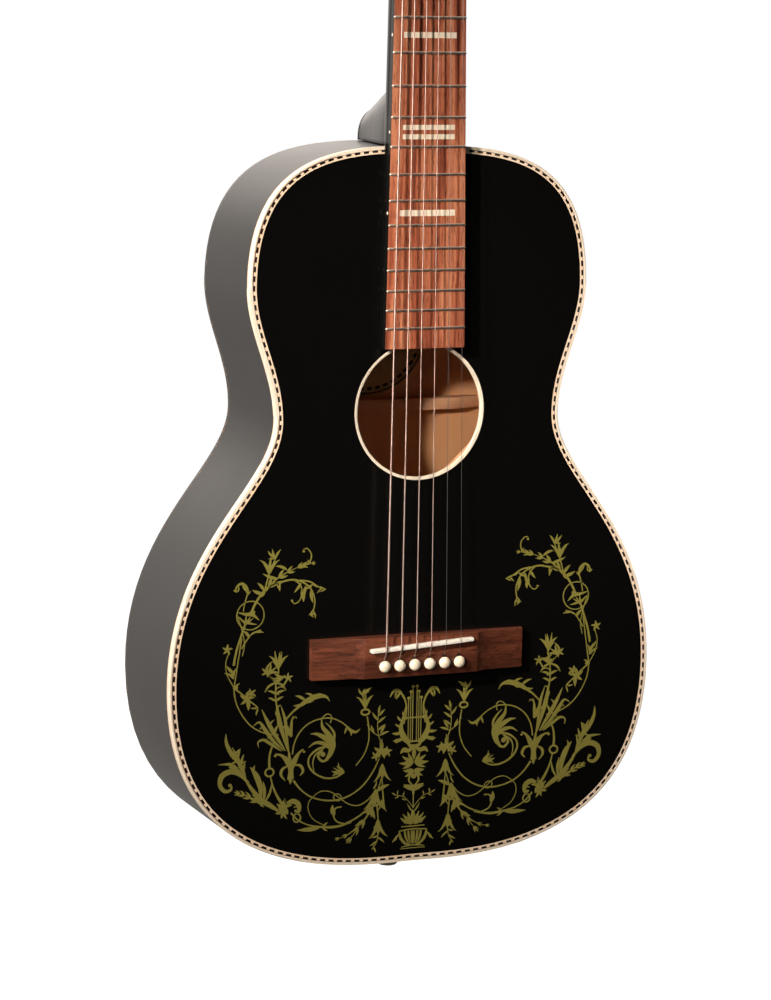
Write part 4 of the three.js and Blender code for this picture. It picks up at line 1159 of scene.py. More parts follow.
class GUITAR_OT_tuners(bpy.types.Operator):
    """Open-back tuners: plates, worm shafts, buttons, and slotted posts with their gears and screws"""
    bl_idname = "guitar.add_tuners"
    bl_label = "Tuners"
    bl_options = {"REGISTER", "UNDO"}

    def execute(self, context):
        metal = nickel()
        for side in ("treble", "bass"):
            dress(metal, f"tuner_plate_{side}")
            ease_edges(f"tuner_plate_{side}", 0.25, 2, 50, False)
        self.plate_screws(metal)
        cream = moulded_plastic("cream_button_plastic", "#F1E3C4", "#E2CDA2", 0.25)
        for i in range(1, 7):
            self.shaft(i, metal)
            self.button(i, cream)
            self.post(i, metal)
        return {"FINISHED"}

    def plate_screws(self, metal):
        bm, tool = bmesh.new(), bmesh.new()
        for sign in (-1, 1):
            for z in (27.6, 56.5, 97.5, 134.4):
                place = Matrix.Translation((sign * POST_X, 14.45, z)) @ BACKWARDS
                screw_head(bm, tool, place, 2.1)
        finish_piece("plate_screws", carve(bm, tool), [metal], place=HEAD_AT)

    def along_shaft(self, i):
        """Place of shaft i: its own Z runs out to the button."""
        outward = Matrix.Rotation(post_side(i) * math.pi / 2, 4, "Y")
        return Matrix.Translation((post_side(i) * POST_X, GEAR_Y, POST_HEIGHTS[i - 1] + WORM_RISE)) @ outward

    def shaft(self, i, metal):
        bm = bmesh.new()
        profile = rounded([(0, -10), (1.9, -10), (1.9, -5.4), (1.75, -5.0), (1.75, 5.0), (1.9, 5.4),
                           (1.9, 25), (0, 25)], 0.25)
        spun(bm, profile, self.along_shaft(i), 24)
        bmesh.ops.remove_doubles(bm, verts=bm.verts, dist=0.002)
        self.thread(bm, i)
        name = f"tuner_shaft_{i}"
        finish_piece(f"worm_shaft_{i}", bm, [metal], [name], name, HEAD_AT)

    def thread(self, bm, i):
        """The worm: a thread of two and a quarter turns, with a crest towards the gear at its middle."""
        old = set(bm.verts)
        turns, steps = 2.25, 54
        edges = loop_edges(bm, [(r, 0, h - turns * THREAD_PITCH / 2)
                                for r, h in ((1.6, -0.95), (3.45, -0.42), (3.45, 0.42), (1.6, 0.95))])
        verts = list({v for e in edges for v in e.verts})
        face = bmesh.ops.contextual_create(bm, geom=edges)["faces"]
        rise = turns * THREAD_PITCH / steps
        bmesh.ops.spin(bm, geom=face + edges + verts, cent=(0, 0, 0), axis=(0, 0, 1),
                       angle=2 * math.pi * turns, dvec=(0, 0, rise), steps=steps, use_merge=False)
        fresh = [v for v in bm.verts if v not in old]
        half_way = Matrix.Rotation(-math.pi * turns, 4, "Z")
        bmesh.ops.transform(bm, matrix=self.along_shaft(i) @ self.facing(i) @ half_way, verts=fresh)

    def facing(self, i):
        """Turns the shaft's own X until it points at the gear."""
        local = self.along_shaft(i).to_3x3().inverted() @ Vector((0, 0, -1))
        return Matrix.Rotation(math.atan2(local.y, local.x), 4, "Z")

    def button(self, i, cream):
        bm = bmesh.new()
        swell = smooth_path([(3.4, 26), (5.6, 27.9), (7.0, 30.2), (7.35, 33), (6.5, 35.8), (4.4, 37.7),
                             (2, 38.4)], 3)
        profile = [(0, 23), (2.2, 23), (2.6, 23.3), (3.0, 24.6), *swell, (0, 38.5)]
        flat = Matrix.Scale(0.62, 4, (1, 0, 0))
        spun(bm, profile, self.along_shaft(i) @ self.facing(i) @ flat, 36)
        finish_piece(f"tuner_button_{i}", bm, [cream], (), f"tuner_shaft_{i}", HEAD_AT)

    def post(self, i, metal):
        bm = bmesh.new()
        waist = smooth_path([(3.1, 15.2), (2.65, 14.2), (2.5, 12.6), (2.65, 10.8), (3.0, 9)], 3)
        profile = rounded([(0, 18), (2.7, 18), (3.2, 17.4), *waist, (3.0, -14.6), (0, -14.6)], 0.15)
        spun(bm, profile, post_at(i, 0) @ FRONTWARDS, 32)
        tool = bmesh.new()
        spun(tool, [(0, -5), (0.9, -5), (0.9, 5), (0, 5)], post_at(i, -12.6) @ SIDEWAYS, 16)
        body = f"tuner_post_{i}"
        finish_piece(f"string_post_{i}", carve(bm, tool), [metal], [body], body, HEAD_AT)
        self.gear(i, body)

    def gear(self, i, body):
        bm = bmesh.new()
        points = []
        for k in range(14):
            middle = math.pi / 2 + (k + 0.5) * 2 * math.pi / 14
            for radius, half in ((5.2, 1.0), (5.9, 0.78), (6.6, 0.52), (6.98, 0.3)):
                points.append((radius, middle - half / radius))
            for radius, half in ((6.98, 0.3), (6.6, 0.52), (5.9, 0.78), (5.2, 1.0)):
                points.append((radius, middle + half / radius))
        flat = [(r * math.cos(t), r * math.sin(t)) for r, t in points]
        edges = loop_edges(bm, [(x, 17.0, z) for x, z in flat])
        bmesh.ops.contextual_create(bm, geom=edges)
        thicken(bm, bm.faces[:], (0, 2.8, 0))
        for vert in bm.verts:
            twist = 0.0383 * (1 if vert.co.y > 18.4 else -1)
            vert.co = Matrix.Rotation(twist, 3, "Y") @ vert.co
        soften(bm, 0.12, 1, 60)
        for low, high, radius in ((14.8, 17.2, 4.2), (19.6, 20.3, 3.0)):
            spun(bm, rounded([(0, -low), (radius, -low), (radius, -high), (0, -high)], 0.2), FRONTWARDS, 28)
        bmesh.ops.transform(bm, matrix=post_at(i, 0), verts=bm.verts)
        brass = plated_metal("cut_brass_gear", "#B99A5E", 0.3)
        finish_piece(f"worm_gear_{i}", bm, [brass], (), body, HEAD_AT)
        bm, tool = bmesh.new(), bmesh.new()
        screw_head(bm, tool, post_at(i, 20.3) @ BACKWARDS, 2.3)
        finish_piece(f"gear_screw_{i}", carve(bm, tool), [nickel()], (), body, HEAD_AT)


class GUITAR_OT_end_pin(bpy.types.Operator):
    """Ivory end pin in the tail"""
    bl_idname = "guitar.add_end_pin"
    bl_label = "End pin"
    bl_options = {"REGISTER", "UNDO"}

    def execute(self, context):
        bm = bmesh.new()
        base = -497.5
        knob = smooth_path([(6.2, base + 0.25), (7.2, base + 1.4), (7.4, base + 2.9), (6.6, base + 4.6),
                            (4.9, base + 6.2), (4.6, base + 7.4), (4.7, base + 8.8)], 3)
        collar = [(6.4, base + 12.0), (6.6, base + 12.3), (6.6, base + 13.7)]
        profile = [(0, base), (5.4, base), *knob, *collar, (4.2, base + 13.7), (3.7, -457.5), (0, -457.5)]
        spun(bm, profile, Matrix.Translation((0, 45, 0)), 36)
        finish_piece("tail_pin", bm, [polished_ivory()], ["end_pin"])
        return {"FINISHED"}


class GUITAR_OT_inside(bpy.types.Operator):
    """Braces, linings, blocks, plate and rod seen through the soundhole"""
    bl_idname = "guitar.add_inside"
    bl_label = "Inside"
    bl_options = {"REGISTER", "UNDO"}

    def execute(self, context):
        cross = ("x_brace_bass", "x_brace_treble", "upper_brace", "tone_bar", "back_brace_1", "back_brace_2",
                 "back_brace_3", "back_brace_4", "bridge_plate")
        dress(cross_wood(), *cross)
        dress(pale_top_wood(), "neck_block", "tail_block", "top_lining_bass", "top_lining_treble",
              "back_lining_bass", "back_lining_treble")
        dress(plated_metal("plain_rod_steel", "#8F8D8A", 0.38), "truss_rod", "truss_rod_nut")
        for name in cross + ("neck_block", "tail_block"):
            ease_edges(name, 0.5, 2, 50)
        self.label()
        return {"FINISHED"}

    def label(self):
        """A round paper label with a printed border of rings and dashes and no words."""
        centre = -133
        round_paper = bmesh.new()
        plate(round_paper, circle(43, 72, 0, centre), -0.1, 0.1)
        ink = bmesh.new()
        for outer, inner in ((42, 41.2), (35.4, 34.9), (27, 26.6)):
            edges = [e for r in (outer, inner) for e in
                     loop_edges(ink, [(x, -0.25, z) for x, z in circle(r, 72, 0, centre)])]
            bmesh.ops.bridge_loops(ink, edges=edges)
        for k in range(40):
            low, high = (2 * math.pi * (k + share) / 40 for share in (0.0, 0.58))
            corners = [(r * math.cos(t), centre + r * math.sin(t))
                       for r, t in ((37.4, low), (39.4, low), (39.4, high), (37.4, high))]
            ink.faces.new([ink.verts.new((x, -0.25, z)) for x, z in corners])
        for radius, petals in ((14, 8), (20, 16)):
            for k in range(petals):
                x, z = circle(radius, petals, 0, centre)[k]
                ink.faces.new([ink.verts.new((u, -0.25, v)) for u, v in circle(1.1, 10, x, z)])
        thicken(ink, ink.faces[:], (0, 0.05, 0))
        for bm in (round_paper, ink):
            bmesh.ops.triangulate(bm, faces=bm.faces[:])
            for vert in bm.verts:
                vert.co.y += self.back_inside(vert.co.x, vert.co.z)
        finish_piece("paper_label", round_paper, [label_paper()], angle=60)
        dark = black_lacquer("printed_dark_ink", 0.8)
        finish_piece("label_border", ink, [dark], angle=60)

    def back_inside(self, x, z):
        """Depth of the back's inner face, just in front of it."""
        reach = math.hypot(x / 118, (z + 270) / 215)
        return rim_depth(z) + 3.5 * (1 - min(reach, 1) ** 2) - 2.6 - 0.9


# ---------------------------------------------------------------- painted ornament

class Brush:
    """Collects tapered strokes of (x, z, half-width) points for one half of the soundboard."""

    def __init__(self):
        self.strokes = []

    def stem(self, points, start=0.5, end=0.5, steps=6):
        count = len(points) - 1
        widths = [start + (end - start) * k / count for k in range(count + 1)]
        self.strokes.append(smooth_path([(x, z, w) for (x, z), w in zip(points, widths)], steps))

    def swell(self, points, widths, steps=6):
        self.strokes.append(smooth_path([(x, z, 0.8 * w) for (x, z), w in zip(points, widths)], steps))

    def leaf(self, x, z, angle, length, width, curl=0.5, steps=9, stalk=0.16):
        """A leaf that swells from its stalk and ends in a curling tip; the angle is in degrees from +X."""
        turn = math.radians(angle)
        bend = curl / steps
        path = []
        for k in range(steps + 1):
            t = k / steps
            swell = math.sin(math.pi * t ** 0.8) ** 0.9 if 0 < t < 1 else 0
            path.append((x, z, max(stalk * (1 - t), 0.8 * width * swell, 0.1)))
            x += length / steps * math.cos(turn)
            z += length / steps * math.sin(turn)
            turn += bend * (0.5 + 1.5 * t)
        self.strokes.append(path)

    def curl(self, x, z, angle, radius, turns, hand, start=0.7, end=0.5, ball=1.0):
        """A spiral that winds in from its start and ends in a small ball."""
        turn = math.radians(angle)
        steps = max(int(turns * 14), 6)
        path = []
        for k in range(steps + 1):
            t = k / steps
            path.append((x, z, start + (end - start) * t))
            step = 2 * math.pi * turns / steps
            now = radius * (1 - 0.72 * t)
            x += now * step * math.cos(turn)
            z += now * step * math.sin(turn)
            turn += hand * step
        self.strokes.append(path)
        if ball:
            self.dot(x, z, ball)

    def dot(self, x, z, radius):
        self.strokes.append([(x - radius * c, z, max(radius * math.sin(math.acos(c)), 0.05))
                             for c in (0.98, 0.85, 0.6, 0.3, 0, -0.3, -0.6, -0.85, -0.98)])

    def ring(self, x, z, radius, width=0.5, squash=1.0, tilt=0.0):
        path = []
        turned = Matrix.Rotation(tilt, 2)
        for k in range(25):
            t = 2 * math.pi * k / 24
            point = turned @ Vector((radius * math.cos(t), radius * squash * math.sin(t)))
            path.append((x + point.x, z + point.y, width))
        self.strokes.append(path)

    def tulip(self, x, z, angle, size):
        """A flower seen from the side: a cup, two petals that bend out and one in the middle."""
        self.leaf(x, z, angle, size * 0.6, size * 0.2, 0)
        self.leaf(x, z, angle + 16, size * 1.0, size * 0.13, 0.9)
        self.leaf(x, z, angle - 16, size * 1.0, size * 0.13, -0.9)
        self.leaf(x, z, angle + 2, size * 1.02, size * 0.1, 0.1)

    def rose(self, x, z, size, turn=0):
        for k in range(5):
            angle = turn + 72 * k
            self.leaf(x, z, angle, size * 1.08, size * 0.3, 0.6, 7)
        self.dot(x, z, size * 0.26)

    def spray(self, points, size, pairs, width=0.7, shape=0.18, lean=50, curl=0.9):
        """Feathered acanthus: a stem with leaves that lean off both sides and shrink towards the tip."""
        path = smooth_path([(x, z, 0) for x, z in points], 8)
        last = len(path) - 1
        self.strokes.append([(x, z, width * (1 - 0.75 * k / last)) for k, (x, z, _) in enumerate(path)])
        for k in range(pairs):
            share = 0.16 + 0.8 * k / max(pairs - 1, 1)
            at = min(int(share * last), last - 1)
            x, z, _ = path[at]
            angle = math.degrees(math.atan2(path[at + 1][1] - z, path[at + 1][0] - x))
            long = size * (1 - 0.45 * share)
            self.leaf(x, z, angle + lean * 0.8, long, long * shape, -curl)
            self.leaf(x, z, angle - lean * 0.8, long, long * shape, curl)
        x, z, _ = path[-1]
        angle = math.degrees(math.atan2(z - path[-3][1], x - path[-3][0]))
        self.leaf(x, z, angle, size * 0.6, size * 0.13, 0.2)

    def bell(self, x, z, angle, size):
        """A hanging bellflower with three points."""
        self.leaf(x, z, angle, size * 0.8, size * 0.21, 0)
        self.leaf(x, z, angle + 10, size * 1.1, size * 0.12, 0.8)
        self.leaf(x, z, angle - 10, size * 1.1, size * 0.12, -0.8)


def paint_upper_scroll(b):
    """The climbing stem at the edge, up to the sprays above the bridge."""
    b.stem([(98, -389), (108, -387), (118, -381), (126, -370), (129.5, -358), (128, -345), (126, -332),
            (124.5, -322)], 0.55, 0.45)
    b.stem([(130, -354), (134.5, -346), (135.5, -338), (133.5, -331.5)], 0.4, 0.35)
    b.rose(134.5, -329, 3.6, 90)
    b.dot(128.6, -355, 1.8)
    b.leaf(129, -355, 128, 4.4, 1.0, 0.5)
    b.tulip(130, -349, 70, 8)
    b.leaf(129, -346, 40, 9, 1.5, 0.3)
    b.stem([(130, -340), (128, -330), (124, -318), (121.5, -311)], 0.9, 0.75)
    b.stem([(124, -334), (122.5, -326), (124.5, -316), (127, -308)], 0.35, 0.35)
    b.stem([(124.5, -329), (121, -323.5), (117, -319), (111, -317)], 0.5, 0.4)
    b.leaf(119, -322, 62, 7, 1.5, -0.7)
    b.leaf(115, -318.5, 170, 6, 1.1, 0.7)
    b.leaf(114, -318, -20, 5.5, 0.8, -0.4)
    b.ring(118.5, -307, 9.6, 0.42, 1.0)
    for angle in (60, 100, 130, 150):
        b.leaf(121.5, -313, angle - 15, 6.5, 0.85, 0.3)
    b.swell([(112.5, -310.5), (117, -306.5), (121.5, -306), (127.5, -304.5)], [0.3, 1.7, 1.5, 0.3])
    b.swell([(114, -313.2), (119, -312.2), (124, -310), (127.5, -306.8)], [0.2, 1.1, 0.8, 0.2])
    b.dot(117, -305, 1.8)
    b.stem([(117.5, -304), (115, -299), (112, -294.5), (108, -290), (103, -287), (97, -285.6)], 0.9, 0.75)
    b.leaf(110, -293, 14, 8, 1.7, 0.4)
    b.leaf(109, -291, 60, 7.5, 1.5, -0.5)
    b.leaf(112, -295, 150, 5.5, 1.1, -0.6)
    b.stem([(123.5, -304), (122.5, -298.5), (121, -293.5), (120, -290)], 0.4, 0.6)
    b.swell([(120.5, -293), (122, -288.5), (124.6, -285.3), (128.2, -287.2), (128.8, -290.2)],
            [0.5, 1.0, 1.3, 0.8, 0.5])
    b.curl(128, -286.6, 225, 2.6, 0.6, 1, 0.6, 0.4, 0.8)
    b.leaf(120.5, -292.5, 80, 8.5, 1.7, -0.5)
    b.leaf(119.5, -291.5, 36, 8, 1.2, 0.6)
    b.leaf(121, -293.5, 125, 4, 0.8, 0.5)
    # The leafy branch that rises inwards, and its curl.
    b.spray([(108, -291), (101, -284), (93, -279.5), (85, -276.3)], 8.2, 4, 0.8, 0.2, 36, 0.3)
    b.leaf(99, -283.5, 12, 12, 1.5, 0.35)
    b.leaf(93, -278, 38, 9, 1.4, -0.8)
    b.stem([(85, -276.3), (80, -275), (76.5, -272), (76.3, -267.6), (79, -264.3), (81.7, -264.6)], 0.6, 0.4)
    b.dot(81.4, -266, 0.9)
    b.spray([(83, -275.5), (79, -275), (75.5, -274.4)], 4.6, 2, 0.5, 0.2, 44, 0.4)
    b.leaf(76, -274.6, 40, 4, 0.8, 0.3)
    # The branch that arches over and droops.
    b.stem([(98, -286), (90, -284.6), (83, -286.2), (77.5, -289.8), (74.5, -294.5), (73.2, -300),
            (74, -306)], 0.75, 0.5)
    b.stem([(84, -285.4), (77, -286.6), (70.5, -290.5), (65.5, -292.4)], 0.7, 0.4)
    for x, z, angle, long in ((83, -287, -58, 8), (79.5, -289, -72, 9), (76, -292, -92, 9.5),
                              (74.6, -288.4, -35, 7), (70.5, -290.6, 20, 5), (68.5, -291.4, -48, 4.6),
                              (66, -292.3, 25, 4.4), (66, -292.3, -28, 4), (98, -286, -82, 6),
                              (100, -286.6, -100, 4)):
        b.leaf(x, z, angle, long, long * 0.17, 0.25 if angle > -60 else -0.35)
    b.stem([(88, -285), (83.6, -288.4), (82.4, -294), (84.2, -299), (87.4, -300.8), (89.6, -299)], 0.5, 0.4)
    b.dot(89.4, -298.6, 0.8)
    b.leaf(83, -293, -118, 7.4, 2.0, 0.7)
    for x, z, angle, long in ((74, -305, -62, 5.4), (74.4, -306, -118, 6.2), (77, -308.6, 172, 5),
                              (77, -308.4, -150, 4)):
        b.leaf(x, z, angle, long, 0.8, 0.5)
    # The upright flower at the top.
    b.stem([(108.5, -290), (107, -284.5), (105.4, -279)], 0.5, 0.5)
    b.tulip(105.6, -280.2, 92, 12.5)
    b.stem([(103.6, -277), (102.4, -272), (100.5, -268.6)], 0.4, 0.4)
    for angle, long in ((38, 7.5), (66, 6.5), (118, 7), (-8, 4.6)):
        b.leaf(101.6, -269.6, angle, long, long * 0.16, 0.3)


def paint_middle_plant(b):
    """The plant beside the bridge, with its fan of leaves, three blossoms and cup."""
    b.stem([(128.6, -356), (124, -359.5), (119, -364), (113, -369)], 0.6, 0.5)
    b.rose(120.6, -362.8, 5.2, 20)
    b.rose(117.4, -359.6, 3.6, 60)
    b.leaf(120, -363, -100, 8, 2.0, 0.3)
    b.leaf(112.4, -369.4, -10, 5.6, 0.9, 0.5)
    b.leaf(112.4, -370, -60, 5, 0.9, -0.5)
    for points, widths in (([(91, -401), (94.5, -390), (97.6, -379), (99.8, -366.5)], [0.5, 1.6, 2.2, 0.3]),
                           ([(90.5, -401), (92.4, -389), (93.4, -379), (96.6, -369)], [0.4, 1.3, 1.5, 0.2]),
                           ([(93, -400), (99, -391), (104.5, -382), (110, -371)], [0.4, 1.7, 2.0, 0.3]),
                           ([(94, -400), (101.4, -393), (107.4, -385), (111.6, -379.4), (116, -381.8)],
                            [0.4, 1.5, 1.9, 1.0, 0.3]), ([(96, -400), (103, -395), (108.6, -391.6),
                                                          (112.4, -393), (112, -396.4)],
                                                         [0.4, 1.5, 1.3, 0.7, 0.3])):
        b.swell(points, widths)
    b.curl(112.6, -379.4, 190, 3.2, 0.45, 1, 0.8, 0.3, 0.6)
    for x, z, angle, long in ((101, -388, 105, 7), (105, -383, 118, 6), (97, -384, 62, 6),
                              (98.4, -377, 55, 5), (96.4, -387, 118, 6), (107, -377, 60, 5),
                              (99.6, -371, 130, 4), (106, -391, 130, 5)):
        b.leaf(x, z, angle, long, long * 0.17, 0.5)
    b.stem([(99.6, -369), (100.4, -362), (100.2, -356), (100, -352)], 0.6, 0.5)
    for x, z, angle, long in ((100.3, -366, 40, 6), (100.3, -366, 140, 6.4), (100.3, -361, 150, 7),
                              (100.3, -361, 36, 6.4)):
        b.leaf(x, z, angle, long, long * 0.18, 0.6 if angle > 90 else -0.6)
    b.swell([(108, -359.4), (105.4, -355.6), (100.4, -353.6), (95.8, -355.2), (93, -359)],
            [0.3, 1.1, 0.8, 1.1, 0.3])
    b.curl(94.6, -357, 20, 4.2, 0.55, -1, 0.5, 0.4, 0.6)
    b.stem([(100, -353), (98.4, -346), (98.6, -341.4)], 0.5, 0.5)
    b.tulip(98.8, -344.6, 92, 12)
    b.leaf(99, -344, 78, 12.4, 1.3, 0.1)
    b.leaf(99, -344, 108, 12, 1.3, -0.2)
    b.leaf(97.4, -341, 8, 6, 0.9, 0.7)
    b.stem([(100.6, -353), (104, -350), (106.6, -346.4)], 0.5, 0.5)
    b.tulip(106.4, -347.6, 140, 9)
    b.rose(107, -345.6, 3.6, 30)
    b.leaf(108, -346, 112, 9, 1.0, 0.6)
    b.leaf(105.4, -348.6, -140, 8, 1.2, -0.4)
    b.stem([(99.6, -352.6), (96.4, -350), (93.4, -349)], 0.5, 0.5)
    b.tulip(94.4, -350, -8, 8.6)
    b.rose(91.6, -350.6, 3.4, 10)
    b.leaf(92.6, -352, -62, 6, 0.9, 0.4)
    b.stem([(93, -379), (87.6, -373.6), (83, -370.4)], 0.6, 0.9)
    b.swell([(85, -371.6), (78.6, -367.4), (71, -364.6), (64.6, -365.2), (61.8, -368.6)],
            [0.5, 2.3, 2.5, 1.3, 0.25])
    for x, z, angle, long in ((79, -367, 40, 8.6), (73, -364.6, 34, 7), (79, -369, -16, 9),
                              (73, -366.6, -28, 6.4), (67, -364.6, 50, 3.6)):
        b.leaf(x, z, angle, long, long * 0.16, -0.6 if angle > 0 else 0.5)
    b.leaf(89, -391, 62, 11, 2.2, 0.3)
    b.leaf(88.6, -391, 84, 14.5, 1.4, 0.4)
    b.leaf(88, -390, 40, 8.5, 1.6, 0.6)
    b.curl(87.6, -379, 100, 1.6, 0.5, 1, 0.4, 0.3, 0.4)
    # The cup at the foot of the plant.
    b.swell([(89.4, -420), (89.2, -413), (91, -408), (95.4, -403.4), (100.2, -401.8)],
            [3.0, 2.4, 3.0, 1.4, 0.6])
    b.swell([(89, -420), (88.8, -413), (86.8, -408), (83.4, -402.4), (80, -400)], [3.0, 2.4, 2.8, 1.3, 0.6])
    b.dot(100.2, -403, 1.0)
    b.dot(79.8, -401.8, 0.9)
    b.swell([(91, -410.4), (95, -412.6), (96, -416.4), (93, -420.6)], [0.4, 1.4, 1.3, 0.3])
    b.swell([(87.4, -410.4), (82.4, -411), (80.4, -415), (82.6, -418)], [0.4, 1.4, 1.3, 0.3])
    b.swell([(90.5, -401), (90, -406), (89.4, -411)], [0.8, 1.6, 2.0])
    b.leaf(89.2, -418, -90, 5.5, 1.6, 0)


def paint_scrolls(b):
    """The round scroll with its acanthus, and the lower arcs that knot beneath it."""
    b.stem([(88, -403), (86.6, -395), (81.6, -386.6), (73, -381.2), (62, -380), (54, -383), (48.6, -387.2)],
           0.55, 0.5)
    b.swell([(50, -386), (46.4, -389.6), (42.6, -391), (39.6, -389)], [0.6, 1.5, 1.2, 0.2])
    b.leaf(49.4, -387, -78, 5, 1.0, 0.3)
    b.leaf(46.6, -389.6, -110, 4, 0.9, 0.6)
    b.stem([(68, -381), (66, -378.6), (63.4, -377.2), (60.8, -378.4), (60.4, -381), (61.2, -383.4)], 0.45,
           0.4)
    b.swell([(67.4, -381), (66.6, -386), (62.4, -391.4), (59.4, -397.6), (61, -404.6), (64.4, -409)],
            [0.5, 1.6, 2.6, 3.2, 2.5, 0.9])
    b.swell([(60.4, -398), (65, -393.4), (70.6, -390.4), (75.4, -390)], [2.0, 2.4, 1.5, 0.2])
    b.swell([(61, -400.6), (66.4, -397), (72, -396.4), (76.6, -399.2)], [1.8, 1.9, 1.2, 0.2])
    b.swell([(58.4, -396), (58.2, -391), (61.4, -386), (64.6, -383)], [0.8, 1.2, 0.8, 0.2])
    b.swell([(62.4, -408.2), (66.6, -409.2), (69.6, -406), (68, -403.2), (65.4, -404.2)],
            [0.9, 1.2, 1.1, 1.2, 1.4])
    b.dot(66.2, -404.8, 1.7)
    b.swell([(64.4, -399.6), (70, -400.8), (75.6, -405.2), (76.4, -411), (72.4, -416.8), (65, -420.8),
             (57.4, -421.2), (51, -418.4)], [1.0, 1.1, 0.8, 0.9, 0.95, 0.9, 0.8, 0.6])
    b.swell([(66, -401), (71.6, -404.6), (73.4, -410), (72.4, -416)], [0.9, 0.8, 0.6, 0.3])
    b.tulip(51, -418.8, 26, 9)
    b.leaf(50.6, -418.6, 4, 9.5, 1.7, 0.35)
    b.leaf(50.6, -418.6, 50, 8, 1.5, -0.4)
    b.stem([(42.4, -414.2), (36.6, -407), (33.4, -398), (33.4, -389), (34.6, -381)], 0.4, 0.5)
    b.ring(36, -377.8, 2.9, 0.75, 0.66)
    b.tulip(36.2, -375.4, 88, 11)
    b.stem([(36.6, -371), (38.4, -366), (41, -363.4)], 0.45, 0.4)
    for angle, long in ((58, 5.4), (150, 6), (140, 8.6), (112, 5), (196, 3.6)):
        b.leaf(38.8, -366, angle, long, long * 0.17, 0.3)
    # A laurel sprig.
    b.stem([(24, -400.6), (26, -395), (27, -388), (26.4, -379)], 0.35, 0.3)
    b.stem([(26, -395), (31, -391.4), (34.6, -386.4)], 0.35, 0.3)
    for x, z, angle, long in ((26.6, -391, 40, 6.6), (26.8, -386, 42, 7), (26.8, -384, 132, 7),
                              (26.4, -379.6, 84, 6), (26, -381, 50, 6), (25.6, -394.6, 24, 7.4),
                              (24.8, -393, 60, 6), (29.4, -392.6, 118, 6)):
        b.leaf(x, z, angle - 180 if angle < 90 else angle, 0.1, 0.1, 0)
        b.leaf(x, z, 180 - angle if angle < 90 else 180 - angle, long, 1.15, 0.25)
    # The garland of bellflowers beside the middle.
    b.rose(24, -405.6, 5.6, 90)
    b.rose(20, -406.4, 3.8, 10)
    b.rose(28, -408.6, 3.4, 40)
    b.leaf(24.6, -402, 96, 5, 1.3, 0.3)
    b.bell(23.2, -414.4, -91, 13)
    b.dot(23.2, -418.6, 2.2)
    b.stem([(23.2, -425), (22.6, -433), (22, -440)], 0.4, 0.7)
    b.tulip(21.8, -438.6, -68, 9.6)
    b.leaf(21.6, -440, -30, 6.6, 1.2, 0.5)
    b.stem([(23.6, -424), (26, -432), (27.4, -438)], 0.4, 0.5)
    b.bell(27.6, -431.4, -86, 15)
    b.leaf(27, -433, 150, 10, 1.9, 0.3)
    b.leaf(29.6, -431.6, 128, 7, 0.8, -0.8)
    b.leaf(25.6, -436, -42, 8, 1.8, -0.3)
    b.stem([(26.8, -442), (26, -449), (25.4, -457)], 0.6, 0.4)
    b.bell(25.8, -452.6, -92, 13.6)
    b.leaf(27.6, -455.6, 200, 6, 0.9, 0.8)
    b.leaf(24, -455.6, -16, 6, 0.9, -0.8)
    b.stem([(25.6, -462), (26.4, -468), (30, -473.4)], 0.4, 0.3)
    for x, z, angle, long in ((26, -465, 212, 6.6), (26.4, -467.6, -40, 6), (29, -471.6, 236, 4.4),
                              (25.8, -464, -22, 4.6)):
        b.leaf(x, z, angle, long, 0.95, 0.4)
    # The long arc from the cup to the garland.
    b.swell([(87, -421), (82, -427.4), (75, -432.8), (66, -436), (56, -436.8), (46, -434.2), (37, -428.2),
             (30, -419.4), (25.4, -410.4)], [1.1, 0.8, 0.75, 0.8, 0.85, 0.8, 0.75, 0.8, 0.5])
    b.ring(55.4, -435, 2.9, 0.45, 0.8, 0.4)
    b.stem([(70.6, -431.4), (66.6, -429.8), (60, -431), (53.6, -435.8), (47, -440.4), (40, -441.8),
            (33.6, -438.8), (29.6, -434.6)], 0.35, 0.5)
    b.stem([(70.6, -431.4), (75.6, -436), (76.2, -442.4), (72.6, -448.8), (65.6, -453)], 0.35, 0.35)
    # The lowest stems with their leaves.
    b.swell([(88.6, -443), (84, -448), (76, -452.4), (66, -454.6), (56, -455.2), (45, -453)],
            [0.9, 0.7, 0.65, 1.1, 1.2, 0.6])
    b.ring(84.4, -446.8, 2.6, 0.6, 1.1)
    b.leaf(68, -455, -4, 16, 2.2, 0.15)
    b.leaf(66, -454.8, 132, 5, 1.0, 0.4)
    b.leaf(66, -455, 222, 4.4, 1.0, -0.3)
    b.stem([(50, -453.8), (56, -451.4), (58.2, -446.6), (56.4, -442.4), (52.4, -441.8)], 0.6, 0.5)
    b.leaf(57.4, -447.6, 66, 8, 2.4, 0.6)
    b.stem([(50, -453.8), (42, -450.6), (35, -446), (29, -440)], 0.6, 0.6)
    for x, z, angle, long in ((36, -446.6, 196, 9), (37.6, -448, 152, 7.6), (34, -445, 222, 9.6),
                              (32, -443, 236, 9)):
        b.leaf(x, z, angle, long, long * 0.15, 0.35)
    b.spray([(28, -440.4), (34, -450), (40, -457.4), (45.4, -464)], 8, 4, 0.9, 0.17, 34, 0.2)
    b.spray([(36, -452), (43.6, -459), (50, -462.4), (54, -463.4)], 5, 3, 0.6, 0.18, 30, 0.2)


